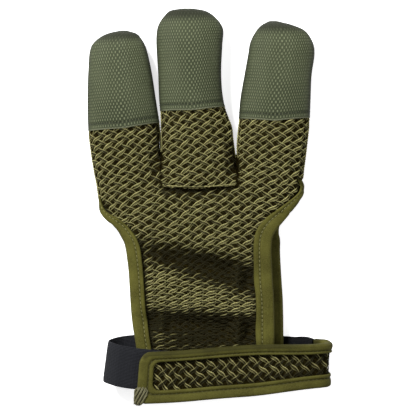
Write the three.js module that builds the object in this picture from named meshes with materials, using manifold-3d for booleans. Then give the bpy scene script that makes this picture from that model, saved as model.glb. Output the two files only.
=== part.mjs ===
// A three-finger archery glove, lying palm down with its wrist strap closed.
// The shell is open mesh fabric, sewn from a back panel, a front panel and the front of the
// middle finger. Stiff caps cover the fingertips, tape binds the two side openings, and an
// elastic band and a bound strap close round the wrist with hook and loop.
// Millimetres. X runs across the hand, Y towards the fingertips and Z up.
import * as THREE from "three";
import { mergeVertices } from "three/addons/utils/BufferGeometryUtils.js";
import Module from "manifold-3d";

const wasm = await Module();
wasm.setup();

// Driving sizes
const palmWidth = 106;
const palmLength = 106.5; // from the wrist end up to the web between the fingers
const palmDepth = 15; // height of the empty glove as it lies
const wristDepth = 12;
const indexLength = 69; // each finger from the web to its tip
const indexWidth = 36;
const middleLength = 80;
const middleWidth = 38.5;
const ringLength = 73.8;
const ringWidth = 35;
const fingerDepth = 15.5;
const meshWall = 1.6;
const capWall = 1.6;
const capLap = 6; // mesh that runs up inside each cap
const middleSag = 1.5; // bulge of the seam where the middle finger meets the palm
const tapeWall = 1; // one leaf of the folded binding tape
const tapeWidth = 7.3; // binding at the left side opening
const wideTapeWidth = 9; // binding at the right side opening
const tapeStartWidth = 3; // both bindings where they start below the fingers
const backOffset = 5; // how far the back panel shows past the front one
const foldDepth = 3; // dents across the front panel
const strapWidth = 25.2;
const strapFoldWidth = 21.8; // the strap narrows towards the fold at the right
const strapWall = 2.2;
const strapTapeWidth = 5.5;
const strapCorner = 4.6;
const elasticWidth = 20;
const elasticWall = 1.2;
const elasticLean = 0.13; // the band runs on a slant, so its fold leans
const strapLean = 0.05;
const hookLength = 12;
const hookWidth = 12;
const loopLeft = 46.6; // the wrist loop's reach to each side of the palm's middle
const loopRight = 66.4;
const strapReach = 30.6; // from the palm's middle to the strap's free end
const strapTurnBack = 19; // from the right fold back to the strap's sewn end
const elasticReach = 10; // from the palm's middle to the elastic's end under the strap
const joinLap = 10; // elastic sewn on the strap's inner face
const gap = 0.3; // clearance between pieces that touch
const capGap = 0.5; // clearance between a cap and the mesh tucked inside it
const seamLevel = 7.4; // height of the seam between the front and back panels

const tapeStep = gap + tapeWall; // from a panel's face to its binding's outer face
const wristLift = elasticWall + gap + tapeStep; // the back panel lies on its tape and the elastic

// Each finger: a row for each section, from inside the palm (along below 0) to the tip (1).
// shift and width are shares of the finger's width, depth a share of its depth.
const indexRows = [
  { along: -0.4, shift: 0.13, width: 0.84, depth: 0.9 },
  { along: -0.15, shift: 0.045, width: 0.93, depth: 0.94 },
  { along: 0, shift: 0.005, width: 0.97, depth: 0.96 },
  { along: 0.25, shift: -0.04, width: 1.005, depth: 0.98 },
  { along: 0.49, shift: -0.08, width: 0.95, depth: 1 },
  { along: 0.72, shift: -0.108, width: 0.868, depth: 0.97 },
  { along: 0.87, shift: -0.128, width: 0.765, depth: 0.86 },
  { along: 0.935, shift: -0.11, width: 0.6, depth: 0.72 },
  { along: 0.975, shift: -0.08, width: 0.4, depth: 0.52 },
  { along: 1, shift: -0.065, width: 0.12, depth: 0.22 },
];
const middleRows = [
  { along: -0.125, shift: 0.01, width: 0.99, depth: 1.06 },
  { along: 0, shift: 0, width: 1, depth: 1.05 },
  { along: 0.17, shift: -0.022, width: 0.935, depth: 1.03 },
  { along: 0.3, shift: -0.058, width: 0.872, depth: 1 },
  { along: 0.42, shift: -0.095, width: 0.835, depth: 1 },
  { along: 0.58, shift: -0.115, width: 0.82, depth: 1 },
  { along: 0.77, shift: -0.12, width: 0.86, depth: 0.95 },
  { along: 0.86, shift: -0.11, width: 0.862, depth: 0.87 },
  { along: 0.91, shift: -0.115, width: 0.775, depth: 0.79 },
  { along: 0.96, shift: -0.128, width: 0.6, depth: 0.64 },
  { along: 0.985, shift: -0.145, width: 0.45, depth: 0.5 },
  { along: 1, shift: -0.149, width: 0.2, depth: 0.26 },
];
const ringRows = [
  { along: -0.3, shift: -0.075, width: 0.94, depth: 0.9 },
  { along: -0.1, shift: 0, width: 0.945, depth: 0.94 },
  { along: 0, shift: 0.018, width: 0.96, depth: 0.96 },
  { along: 0.13, shift: 0.03, width: 1.005, depth: 0.98 },
  { along: 0.29, shift: 0.06, width: 1.015, depth: 1 },
  { along: 0.46, shift: 0.082, width: 1.005, depth: 1 },
  { along: 0.62, shift: 0.118, width: 0.962, depth: 0.98 },
  { along: 0.77, shift: 0.168, width: 0.948, depth: 0.94 },
  { along: 0.85, shift: 0.17, width: 0.89, depth: 0.87 },
  { along: 0.93, shift: 0.158, width: 0.69, depth: 0.7 },
  { along: 0.97, shift: 0.11, width: 0.44, depth: 0.5 },
  { along: 1, shift: 0.06, width: 0.14, depth: 0.22 },
];
// Lower edge of each cap, as shares of the finger's length at its left, middle and right.
const indexCapEdge = { left: 0.26, middle: 0.275, right: 0.32 };
const middleCapEdge = { left: 0.37, middle: 0.358, right: 0.392 };
const ringCapEdge = { left: 0.327, middle: 0.307, right: 0.333 };

// The palm from its wrist end (0) to the web (1): width and shift as shares of the palm's
// width, lift as a share of the wrist's lift off the table, fullness as a share from wrist
// depth to palm depth.
const palmRows = [
  { along: 0, width: 0.97, shift: 0, lift: 1, fullness: 0 },
  { along: 0.24, width: 0.96, shift: 0, lift: 1, fullness: 0 },
  { along: 0.38, width: 0.95, shift: 0, lift: 0.5, fullness: 0.35 },
  { along: 0.52, width: 0.945, shift: 0, lift: 0, fullness: 0.8 },
  { along: 0.65, width: 0.94, shift: 0.006, lift: 0, fullness: 1 },
  { along: 0.8, width: 0.955, shift: 0.01, lift: 0, fullness: 1 },
  { along: 0.9, width: 0.965, shift: 0.003, lift: 0.1, fullness: 0.9 },
  { along: 0.96, width: 0.975, shift: 0, lift: 0.5, fullness: 0.1 },
  { along: 1, width: 0.96, shift: 0, lift: 1.1, fullness: -1.4 },
];
// Dents across the front panel. across and length are shares of the palm's width, along and
// spread shares of its length, depth a share of the fold's, and turn is in degrees.
const dentRows = [
  { across: 0.15, along: 0.5, length: 0.3, spread: 0.06, turn: -18, depth: 1 },
  { across: 0.03, along: 0.262, length: 0.5, spread: 0.048, turn: -4, depth: 1 },
];
const dentFadeStart = 0.2; // shares of the palm's width from its middle, where dents end
const dentFadeEnd = 0.27;

// Cut edges of the front panel at the two side openings, from the corner below the finger to
// the wrist: down is a share of the palm's length below the web, inward of its width.
const leftEdgeRows = [
  { down: 0.16, inward: 0.015 },
  { down: 0.203, inward: 0.052 },
  { down: 0.24, inward: 0.068 },
  { down: 0.278, inward: 0.116 },
  { down: 0.318, inward: 0.147 },
  { down: 0.358, inward: 0.165 },
  { down: 0.474, inward: 0.185 },
  { down: 0.7, inward: 0.2 },
  { down: 0.883, inward: 0.228 },
  { down: 1.03, inward: 0.24 },
];
const rightEdgeRows = [
  { down: 0.075, inward: -0.01 },
  { down: 0.154, inward: 0.045 },
  { down: 0.222, inward: 0.098 },
  { down: 0.278, inward: 0.145 },
  { down: 0.317, inward: 0.168 },
  { down: 0.381, inward: 0.173 },
  { down: 0.5, inward: 0.166 },
  { down: 0.649, inward: 0.158 },
  { down: 1.03, inward: 0.156 },
];

const squareness = 2.3; // exponent of every section: 2 is an ellipse
const flatShare = 1.035; // how much of a section's underside lies flat
// Sections of the palm as shares of its length: close together where the front is dented.
const frontPlaces = [0, 0.1, 0.16, 0.21, 0.26, 0.31, 0.36, 0.42, 0.48, 0.54, 0.6, 0.68, 0.8, 0.9, 0.96];
const backPlaces = [0, 0.24, 0.36, 0.48, 0.62, 0.8, 0.9, 0.96];
const palmSides = 22;
const fingerSteps = 5; // sections from the palm to where the mesh draws in
const tuckSteps = 4; // and from there to the cap's edge
const fingerSides = 18;
const capSteps = 10;
const edgeSteps = 12;
const slack = 30; // how far cutting prisms run past what they cut

const mix = (a, b, share) => a + (b - a) * share;
const smooth = THREE.MathUtils.smoothstep;

// Value of a column at a place along a table, on a smooth curve through its rows.
function column(rows, key, at, place = "along") {
  const last = rows.length - 1;
  let i = 0;
  while (i < last - 1 && rows[i + 1][place] < at) i++;
  const a = rows[i];
  const b = rows[i + 1];
  const span = b[place] - a[place];
  const t = THREE.MathUtils.clamp((at - a[place]) / span, 0, 1);
  const slope = (j, k) => (rows[k][key] - rows[j][key]) / (rows[k][place] - rows[j][place]);
  const slopeA = i > 0 ? slope(i - 1, i + 1) : slope(i, i + 1);
  const slopeB = i + 1 < last ? slope(i, i + 2) : slope(i, i + 1);
  const t2 = t * t;
  const t3 = t2 * t;
  return (
    (2 * t3 - 3 * t2 + 1) * a[key] +
    (t3 - 2 * t2 + t) * span * slopeA +
    (3 * t2 - 2 * t3) * b[key] +
    (t3 - t2) * span * slopeB
  );
}

// A closed skin through rings of points; outline is the first ring in the plane of its ends.
function skin(rings, outline) {
  const sides = outline.length;
  const positions = rings.flat().flatMap((p) => [p.x, p.y, p.z]);
  const faces = [];
  for (let i = 0; i < rings.length - 1; i++) {
    for (let k = 0; k < sides; k++) {
      const next = (k + 1) % sides;
      const a = i * sides + k;
      const b = (i + 1) * sides + k;
      const c = i * sides + next;
      const d = (i + 1) * sides + next;
      faces.push([a, b, c], [b, d, c]);
    }
  }
  const lastRing = (rings.length - 1) * sides;
  const clockwise = THREE.ShapeUtils.isClockWise(outline);
  for (const [a, b, c] of THREE.ShapeUtils.triangulateShape(outline, [])) {
    const [p, q, r] = clockwise ? [a, c, b] : [a, b, c];
    faces.push([p, q, r], [lastRing + p, lastRing + r, lastRing + q]);
  }
  const point = (i) => new THREE.Vector3().fromArray(positions, 3 * i);
  let volume = 0;
  for (const [a, b, c] of faces) volume += point(a).dot(point(b).cross(point(c)));
  const turned = volume < 0 ? faces.map(([a, b, c]) => [a, c, b]) : faces;
  return new wasm.Manifold(
    new wasm.Mesh({
      numProp: 3,
      vertProperties: new Float32Array(positions),
      triVerts: new Uint32Array(turned.flat()),
    }),
  );
}

function solidOf(geometry) {
  geometry.deleteAttribute("normal");
  geometry.deleteAttribute("uv");
  const merged = mergeVertices(geometry, 1e-4);
  return new wasm.Manifold(
    new wasm.Mesh({
      numProp: 3,
      vertProperties: merged.attributes.position.array,
      triVerts: new Uint32Array(merged.index.array),
    }),
  );
}

// An upright prism on a plan outline, between two heights.
function prism(points, low, high) {
  const shape = new THREE.Shape(points.map((p) => new THREE.Vector2(p.x, p.y)));
  const geometry = new THREE.ExtrudeGeometry(shape, { depth: high - low, bevelEnabled: false });
  return solidOf(geometry.translate(0, 0, low));
}

const plan = (x, y) => ({ x, y });
const block = (x0, x1, y0, y1, low, high) =>
  prism([plan(x0, y0), plan(x1, y0), plan(x1, y1), plan(x0, y1)], low, high);

// How far the front panel is pushed in at a point.
function dentAt(x, y) {
  const fade = 1 - smooth(Math.abs(x) / palmWidth, dentFadeStart, dentFadeEnd);
  let sum = 0;
  for (const dent of dentRows) {
    const angle = THREE.MathUtils.degToRad(dent.turn);
    const dx = x - dent.across * palmWidth;
    const dy = y - dent.along * palmLength;
    const u = (dx * Math.cos(angle) + dy * Math.sin(angle)) / (dent.length * palmWidth);
    const v = (dy * Math.cos(angle) - dx * Math.sin(angle)) / (dent.spread * palmLength);
    sum += dent.depth * foldDepth * Math.exp(-u * u - v * v);
  }
  return sum * fade;
}

// A loft through flattened oval sections at places ys. form(y, across) gives the middle, half
// width, underside and depth there, where across runs from -1 to 1 over the section. grow
// moves the wall outwards, or inwards below 0.
function loft(form, ys, sides, grow) {
  const rings = [];
  for (const y of ys) {
    const ring = [];
    for (let k = 0; k < sides; k++) {
      const angle = (2 * Math.PI * (k + 0.5)) / sides;
      const across = Math.sign(Math.cos(angle)) * Math.abs(Math.cos(angle)) ** (2 / squareness);
      const up = Math.sign(Math.sin(angle)) * Math.abs(Math.sin(angle)) ** (2 / squareness);
      const section = form(y, across);
      const halfWidth = Math.max(section.halfWidth + grow, gap);
      const halfDepth = Math.max(section.depth / 2 + grow, gap);
      const middle = section.low + section.depth / 2;
      const x = section.x + halfWidth * across;
      const rise = THREE.MathUtils.clamp(up * flatShare, -1, 1) * halfDepth;
      const dent = section.dented && up > 0 ? dentAt(x, y) * up : 0;
      ring.push(new THREE.Vector3(x, y, Math.max(middle + rise - dent, grow > 0 ? 0 : -slack)));
    }
    rings.push(ring);
  }
  return skin(rings, rings[0].map((p) => new THREE.Vector2(p.x, p.z)));
}

function palmForm(y) {
  const at = THREE.MathUtils.clamp(y / palmLength, 0, 1);
  const depth = mix(wristDepth, palmDepth, column(palmRows, "fullness", at));
  return {
    x: palmWidth * column(palmRows, "shift", at),
    halfWidth: (palmWidth * column(palmRows, "width", at)) / 2,
    low: Math.max(wristLift * column(palmRows, "lift", at), 0),
    depth,
    dented: true,
  };
}

// Evenly spaced values from a to b, without b itself.
const steps = (a, b, count) => Array.from({ length: count }, (_, i) => mix(a, b, i / count));

// Place of a cap's lower edge above the web, for across from -1 at its left to 1 at its right.
function capEdgeAt({ capEdge, length }, across) {
  const side = across < 0 ? capEdge.left : capEdge.right;
  return length * mix(capEdge.middle, side, Math.min(Math.abs(across), 1));
}
const lowestEdge = (finger) => Math.min(...Object.values(finger.capEdge)) * finger.length;
const highestEdge = (finger) => Math.max(...Object.values(finger.capEdge)) * finger.length;
const tuck = capWall + capGap; // how far the mesh draws in to slide under a cap
const tuckRun = 1.6 * tuck; // length over which it does so, below the cap

// A finger's outer form, with its mesh drawn in by up to inset.
function fingerForm(finger, inset = 0) {
  const { rows, length, width, x } = finger;
  return (y, across = 0) => {
    const up = y - palmLength;
    const at = THREE.MathUtils.clamp(up / length, rows[0].along, 1);
    const edge = inset ? capEdgeAt(finger, across) : 0;
    const drawIn = inset ? inset * smooth(up, edge - tuckRun, edge - 2 * gap) : 0;
    return {
      x: x + width * column(rows, "shift", at),
      halfWidth: (width * column(rows, "width", at)) / 2 - drawIn,
      low: drawIn,
      depth: fingerDepth * column(rows, "depth", at) - 2 * drawIn,
    };
  };
}

const baseHalf = (rows, width) => (width * column(rows, "width", 0)) / 2;
const indexX = -palmWidth / 2 + baseHalf(indexRows, indexWidth);
const ringX = palmWidth / 2 - baseHalf(ringRows, ringWidth) - 2 * gap;
const fingers = {
  index: {
    rows: indexRows,
    length: indexLength,
    width: indexWidth,
    x: indexX,
    capEdge: indexCapEdge,
  },
  middle: {
    rows: middleRows,
    length: middleLength,
    width: middleWidth,
    x: (indexX + ringX) / 2,
    capEdge: middleCapEdge,
  },
  ring: {
    rows: ringRows,
    length: ringLength,
    width: ringWidth,
    x: ringX,
    capEdge: ringCapEdge,
  },
};

// Mesh of one finger, from inside the palm to under its cap. past runs its open end on.
function fingerLoft(finger, grow, past = 0) {
  const from = palmLength + finger.rows[0].along * finger.length;
  const bend = palmLength + lowestEdge(finger) - tuckRun;
  const edge = palmLength + highestEdge(finger);
  const to = edge + capLap;
  const ys = [...steps(from, bend, fingerSteps), ...steps(bend, edge, tuckSteps), edge, to];
  if (past > 0) ys.push(to + past);
  return loft(fingerForm(finger, tuck), ys, fingerSides, grow);
}

function palmLoft(grow, past, places) {
  const ys = places.map((place) => place * palmLength);
  if (past > 0) ys.unshift(-past);
  return loft(palmForm, [...ys, palmLength + Math.min(grow, 0)], palmSides, grow);
}

// The whole mesh glove, moved out or in by grow.
function gloveLoft(grow, past, places) {
  let solid = palmLoft(grow, past, places);
  for (const name in fingers) solid = solid.add(fingerLoft(fingers[name], grow, past));
  return solid;
}

// A side opening's cut edge in plan. side is -1 at the left and 1 at the right. The back
// panel's edges lie to the right of the front panel's, apart from at the corners.
function sideEdge(rows, side, back) {
  const points = [];
  const first = rows[0].down;
  const last = rows[rows.length - 1].down;
  for (let i = 0; i <= edgeSteps; i++) {
    const down = mix(first, last, i / edgeSteps);
    const shift = back ? backOffset * smooth(down, 0.24, 0.36) : 0;
    const inward = column(rows, "inward", down, "down") * palmWidth;
    points.push(plan(side * (palmWidth / 2 - inward) + shift, palmLength * (1 - down)));
  }
  return points;
}

// The edge moved towards the outside of the glove by outward(share of the way down).
function offsetEdge(points, side, outward) {
  return points.map((p, i) => {
    const before = points[Math.max(i - 1, 0)];
    const after = points[Math.min(i + 1, points.length - 1)];
    const length = Math.hypot(after.x - before.x, after.y - before.y);
    const distance = outward(i / (points.length - 1));
    return plan(
      p.x - (side * distance * (after.y - before.y)) / length,
      p.y + (side * distance * (after.x - before.x)) / length,
    );
  });
}

// Prism over all that lies outside an edge, to be cut off a panel.
function outsidePrism(points, side, low, high) {
  const first = points[0];
  const last = points[points.length - 1];
  const far = side * (palmWidth / 2 + slack);
  return prism([...points, plan(last.x, -slack), plan(far, -slack), plan(far, first.y)], low, high);
}

const top = palmDepth + fingerDepth;
const seamTop = seamLevel + gap / 2;
const seamBottom = seamLevel - gap / 2;
const frontHalf = { back: false, low: seamTop, high: top, places: frontPlaces };
const backHalf = { back: true, low: -slack, high: seamBottom, places: backPlaces };
const sides = [
  { side: -1, rows: leftEdgeRows, width: tapeWidth },
  { side: 1, rows: rightEdgeRows, width: wideTapeWidth },
];

// The half of a solid above or below the seam.
function halfOf(solid, half) {
  const reach = palmWidth + slack;
  return solid.intersect(
    block(-reach, reach, -slack, palmLength + middleLength + slack, half.low, half.high),
  );
}

function openSides(panel, half) {
  let cut = panel;
  for (const { side, rows } of sides) {
    const edge = sideEdge(rows, side, half.back);
    cut = cut.subtract(outsidePrism(edge, side, half.low - 1, half.high + 1));
  }
  return cut;
}

// The mesh above or below the seam.
function shellOf(half) {
  const shell = gloveLoft(0, 0, half.places).subtract(gloveLoft(-meshWall, slack, half.places));
  return halfOf(shell, half);
}
const frontShell = shellOf(frontHalf);

// Plan of the middle finger's front, grown by grow: its seam bulges over the palm, and its
// sides run up between the fingers.
function middleRegion(grow) {
  const { index, middle, ring } = fingers;
  const seam = palmLength + middleRows[0].along * middleLength - grow - gap;
  const side = (sign, other, y) => {
    const [own, next] = [fingerForm(middle)(y), fingerForm(other)(y)];
    const edges = own.x + sign * own.halfWidth + next.x - sign * next.halfWidth;
    return plan(edges / 2 + sign * grow, y);
  };
  const heights = steps(palmLength, palmLength + indexLength, 6);
  const left = heights.map((y) => side(-1, index, y));
  const right = heights.map((y) => side(1, ring, y));
  const bulge = [0, 0.2, 0.4, 0.6, 0.8, 1].map((t) =>
    plan(mix(left[0].x, right[0].x, t), seam + middleSag * ((2 * t - 1) ** 2)),
  );
  const last = heights.length - 1;
  const beyond = palmLength + middleLength;
  return [
    ...bulge,
    ...right,
    plan(right[last].x, beyond),
    plan(left[last].x, beyond),
    ...left.reverse(),
  ];
}

function makeFrontPanel() {
  const region = prism(middleRegion(gap / 2), -slack, top + slack);
  return openSides(frontShell.subtract(region), frontHalf);
}

function makeBackPanel() {
  return openSides(shellOf(backHalf), backHalf);
}

function makeMiddleFront() {
  return frontShell.intersect(prism(middleRegion(-gap / 2), -slack, top + slack));
}

// Folded tape round a side opening: both panels' edges, joined at the corner.
function makeSideTape({ side, rows, width }) {
  const inner = (t) => tapeStep - mix(tapeStartWidth, width, smooth(t, 0, 0.3));
  const parts = [frontHalf, backHalf].map((half) => {
    const loftTo = (grow, past) => gloveLoft(grow, past, half.places);
    const tape = loftTo(tapeStep, 0).subtract(loftTo(-meshWall - tapeStep, slack));
    const panel = loftTo(gap, slack).subtract(loftTo(-meshWall - gap, slack));
    const edge = sideEdge(rows, side, half.back);
    const outline = [
      ...offsetEdge(edge, side, () => tapeStep),
      ...offsetEdge(edge, side, inner).reverse(),
    ];
    const low = half.back ? -slack : seamLevel;
    const high = half.back ? seamLevel : top;
    const leaf = tape.intersect(prism(outline, low, high));
    const beyond = outsidePrism(offsetEdge(edge, side, () => gap), side, low - 1, high + 1);
    return leaf.subtract(panel.subtract(beyond));
  });
  return parts[0].add(parts[1]);
}

// A stiff fingertip cap, open at its lower edge.
function makeCap(finger) {
  const { length, capEdge } = finger;
  const tip = palmLength + length;
  const from = palmLength + lowestEdge(finger);
  const form = fingerForm(finger);
  const inner = (y) => form(from + ((y - from) * (tip - from)) / (tip - capWall - from));
  const start = from - capLap;
  const crowd = (end) => [...steps(0, 1, capSteps), 1].map((t) => mix(end, start, (1 - t) ** 1.7));
  const outside = loft(form, crowd(tip), fingerSides, 0);
  const inside = loft(inner, crowd(tip - capWall), fingerSides, -capWall);
  const middle = form(from);
  const left = middle.x - middle.halfWidth;
  const right = middle.x + middle.halfWidth;
  const below = prism(
    [
      plan(left - slack, start - slack),
      plan(right + slack, start - slack),
      plan(right + slack, palmLength + capEdge.right * length),
      plan(right, palmLength + capEdge.right * length),
      plan(middle.x, palmLength + capEdge.middle * length),
      plan(left, palmLength + capEdge.left * length),
      plan(left - slack, palmLength + capEdge.left * length),
    ],
    -slack,
    top,
  );
  return outside.subtract(inside).subtract(below);
}

// Heights of the wrist loop, from the table up.
const panelTop = wristLift + wristDepth;
const elasticTopMiddle = panelTop + tapeStep + elasticWall / 2;
const strapHalf = strapWall / 2 + tapeStep; // from the strap's middle to its binding's face
const strapStartZ = elasticTopMiddle + elasticWall / 2 + gap + strapHalf;
const strapRestZ = panelTop + tapeStep + strapHalf;
const loopHeight = (strapRestZ + strapHalf) / 2;
const strapFoldX = loopRight - strapHalf;
const elasticFoldX = elasticWall / 2 - loopLeft;
const strapEndX = loopRight - strapTurnBack;

// Middle of the band in Y at points round the loop: it climbs away from the free end.
const freeEndY = strapWidth * 0.1;
const foldY = strapWidth * 0.33;
const sewnY = strapWidth * 0.44;
const elasticY = strapWidth * 0.47;

const curve = (points) =>
  new THREE.CatmullRomCurve3(
    points.map((p) => (p.isVector3 ? p : new THREE.Vector3(...p))),
    false,
    "centripetal",
  );

// Point on a route at a length along it, moved across the band and off its outer face.
function onBand(route, lean, along, across, off) {
  const share = THREE.MathUtils.clamp(along / route.getLength(), 0, 1);
  const point = route.getPointAt(share);
  const tangent = route.getTangentAt(share).setY(0).normalize();
  point.addScaledVector(new THREE.Vector3(-tangent.z, 0, tangent.x), off);
  return new THREE.Vector3(point.x + lean * across, point.y + across, Math.max(point.z, 0));
}

// From the free end over the front, round the right fold, to the sewn end at the back.
const strapRoute = curve([
  [-strapReach, freeEndY, strapStartZ],
  [-strapReach * 0.35, mix(freeEndY, foldY, 0.15), strapStartZ],
  [palmWidth * 0.12, mix(freeEndY, foldY, 0.46), strapRestZ + gap],
  [palmWidth * 0.36, mix(freeEndY, foldY, 0.76), strapRestZ],
  [strapFoldX - loopHeight * 0.75, mix(freeEndY, foldY, 0.95), strapRestZ - loopHeight * 0.15],
  [strapFoldX - loopHeight * 0.13, foldY, mix(loopHeight, strapRestZ, 0.5)],
  [strapFoldX, foldY, loopHeight],
  [strapFoldX - loopHeight * 0.13, mix(foldY, sewnY, 0.3), mix(loopHeight, strapHalf, 0.6)],
  [strapFoldX - loopHeight * 0.6, mix(foldY, sewnY, 0.7), strapHalf],
  [strapEndX + joinLap * 0.8, sewnY, strapWall / 2 + gap],
  [strapEndX, sewnY, strapWall / 2],
]);
const strapLength = strapRoute.getLength();

// From the strap's sewn end along the back, round the left fold, to under the free end.
const sewnOff = -strapWall / 2 - 1.6 * gap - elasticWall / 2;
const elasticRoute = curve([
  ...[joinLap, joinLap / 2, 0].map((s) => onBand(strapRoute, 0, strapLength - s, 0, sewnOff)),
  [strapEndX - 0.8, sewnY, strapWall / 2 - sewnOff],
  [palmWidth * 0.405, sewnY, elasticWall / 2],
  [palmWidth * 0.3, mix(sewnY, elasticY, 0.5), elasticWall / 2],
  [-palmWidth * 0.3, elasticY, elasticWall / 2],
  [elasticFoldX + elasticTopMiddle * 0.3, elasticY * 0.93, elasticTopMiddle * 0.12],
  [elasticFoldX, elasticY * 0.82, elasticTopMiddle / 2],
  [elasticFoldX + elasticTopMiddle * 0.3, elasticY * 0.72, elasticTopMiddle * 0.93],
  [-palmWidth * 0.33, elasticY * 0.62, elasticTopMiddle],
  [-elasticReach, elasticY * 0.42, elasticTopMiddle],
]);

// Lengths along a route where a band needs a section: close together where it bends.
function stations(route, from, to, longest = 14, sharpest = 0.24) {
  const places = [from];
  const stride = 0.5;
  let last = from;
  const heading = (s) => {
    const tangent = route.getTangentAt(THREE.MathUtils.clamp(s / route.getLength(), 0, 1));
    return tangent.setY(0).normalize();
  };
  for (let s = from + stride; s < to - stride; s += stride) {
    const turned = heading(last).angleTo(heading(s));
    if (s - last >= longest || turned >= sharpest) {
      places.push(s);
      last = s;
    }
  }
  return [...places, to];
}

// A flat band along a route: halfWidthAt gives its half width at each place.
function band(route, lean, places, halfWidthAt, low, high) {
  const rings = places.map((s) => {
    const half = halfWidthAt(s);
    return [
      onBand(route, lean, s, -half, low),
      onBand(route, lean, s, half, low),
      onBand(route, lean, s, half, high),
      onBand(route, lean, s, -half, high),
    ];
  });
  const outline = [
    new THREE.Vector2(-1, 0),
    new THREE.Vector2(1, 0),
    new THREE.Vector2(1, 1),
    new THREE.Vector2(-1, 1),
  ];
  return skin(rings, outline);
}

// Half width of the mesh inside the strap's binding.
function coreHalf(s) {
  const narrowing = smooth(s / strapLength, 0.45, 0.75);
  return mix(strapWidth, strapFoldWidth, narrowing) / 2 - tapeStep;
}
const tapeEnd = strapLength - joinLap - 1.5;
const cornerShares = [0, 0.08, 0.3, 0.62, 1];

function makeStrapMesh() {
  const corner = cornerShares.map((share) => tapeStep + strapCorner * share);
  const rest = stations(strapRoute, tapeStep + strapCorner, strapLength).slice(1);
  const halfAt = (s) => {
    const into = strapCorner - Math.min(s - tapeStep, strapCorner);
    return coreHalf(s) - strapCorner + Math.sqrt(Math.max(strapCorner ** 2 - into ** 2, 0));
  };
  const half = strapWall / 2;
  return band(strapRoute, strapLean, [...corner, ...rest], halfAt, -half, half);
}

// The strap's binding: a folded tape along one edge, round the free end and back along the
// other. Each place on the strap's rim holds the way in from it, along and across.
function makeStrapTape() {
  const rim = [];
  const runs = stations(strapRoute, tapeStep + strapCorner, tapeEnd);
  const half = coreHalf(0);
  const turns = 5;
  const corner = (sign, angle) => ({
    s: tapeStep + strapCorner * (1 - Math.sin(angle)),
    w: sign * (half - strapCorner * (1 - Math.cos(angle))),
    inS: Math.sin(angle),
    inW: -sign * Math.cos(angle),
  });
  const angles = Array.from({ length: turns }, (_, i) => ((i + 1) * Math.PI) / 2 / turns);
  for (const s of [...runs].reverse()) rim.push({ s, w: coreHalf(s), inS: 0, inW: -1 });
  for (const angle of angles) rim.push(corner(1, angle));
  for (const angle of [...angles].reverse()) rim.push(corner(-1, angle));
  for (const s of runs) rim.push({ s, w: -coreHalf(s), inS: 0, inW: 1 });
  const deep = strapTapeWidth - tapeStep;
  const inner = strapWall / 2 + gap;
  const section = [
    [deep, strapHalf],
    [-tapeStep, strapHalf],
    [-tapeStep, -strapHalf],
    [deep, -strapHalf],
    [deep, -inner],
    [-gap, -inner],
    [-gap, inner],
    [deep, inner],
  ];
  const rings = rim.map(({ s, w, inS, inW }) =>
    section.map(([d, t]) => onBand(strapRoute, strapLean, s + d * inS, w + d * inW, t)),
  );
  return skin(rings, section.map(([d, t]) => new THREE.Vector2(d, t)));
}

function makeElastic() {
  const places = stations(elasticRoute, 0, elasticRoute.getLength());
  const half = elasticWall / 2;
  return band(elasticRoute, elasticLean, places, () => elasticWidth / 2, -half, half);
}

function makeHookPatch() {
  const from = strapTapeWidth + 2 * gap;
  const places = stations(strapRoute, from, from + hookLength);
  const high = -strapWall / 2 - gap;
  const low = elasticTopMiddle + elasticWall / 2 + gap - strapStartZ;
  return band(strapRoute, strapLean, places, () => hookWidth / 2, low, high);
}

const meshFabric = { color: 0x5c5a35, roughness: 0.9, metalness: 0 };
const capFabric = { color: 0x56604a, roughness: 0.75, metalness: 0 };
const tapeFabric = { color: 0x66662f, roughness: 0.85, metalness: 0 };
const blackElastic = { color: 0x25252b, roughness: 0.85, metalness: 0 };

const pieces = [
  ["front_panel", makeFrontPanel(), meshFabric],
  ["back_panel", makeBackPanel(), meshFabric],
  ["middle_finger_front", makeMiddleFront(), meshFabric],
  ["index_cap", makeCap(fingers.index), capFabric],
  ["middle_cap", makeCap(fingers.middle), capFabric],
  ["ring_cap", makeCap(fingers.ring), capFabric],
  ["left_opening_binding", makeSideTape(sides[0]), tapeFabric],
  ["right_opening_binding", makeSideTape(sides[1]), tapeFabric],
  ["wrist_strap", makeStrapMesh(), meshFabric],
  ["strap_binding", makeStrapTape(), tapeFabric],
  ["elastic_band", makeElastic(), blackElastic],
  ["hook_patch", makeHookPatch(), blackElastic],
];

const glove = new THREE.Group();
for (const [name, solid, look] of pieces) {
  const made = solid.getMesh();
  const geometry = new THREE.BufferGeometry();
  geometry.setAttribute("position", new THREE.BufferAttribute(made.vertProperties, 3));
  geometry.setIndex(new THREE.BufferAttribute(made.triVerts, 1));
  geometry.computeVertexNormals();
  const mesh = new THREE.Mesh(geometry, new THREE.MeshStandardMaterial(look));
  mesh.name = name;
  glove.add(mesh);
}

// The part's origin is the middle of its footprint on the table.
const bounds = new THREE.Box3().setFromObject(glove);
const centre = bounds.getCenter(new THREE.Vector3());
glove.position.set(-centre.x, -centre.y, -bounds.min.z);
glove.updateMatrixWorld(true);

export default glove;
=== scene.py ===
# An archery glove lying palm down: mesh fabric, fingertip caps, bindings, strap and elastic.
# Sizes are millimetres in the glove's own frame; Cloth.make turns them into scene metres.
import math

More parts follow.
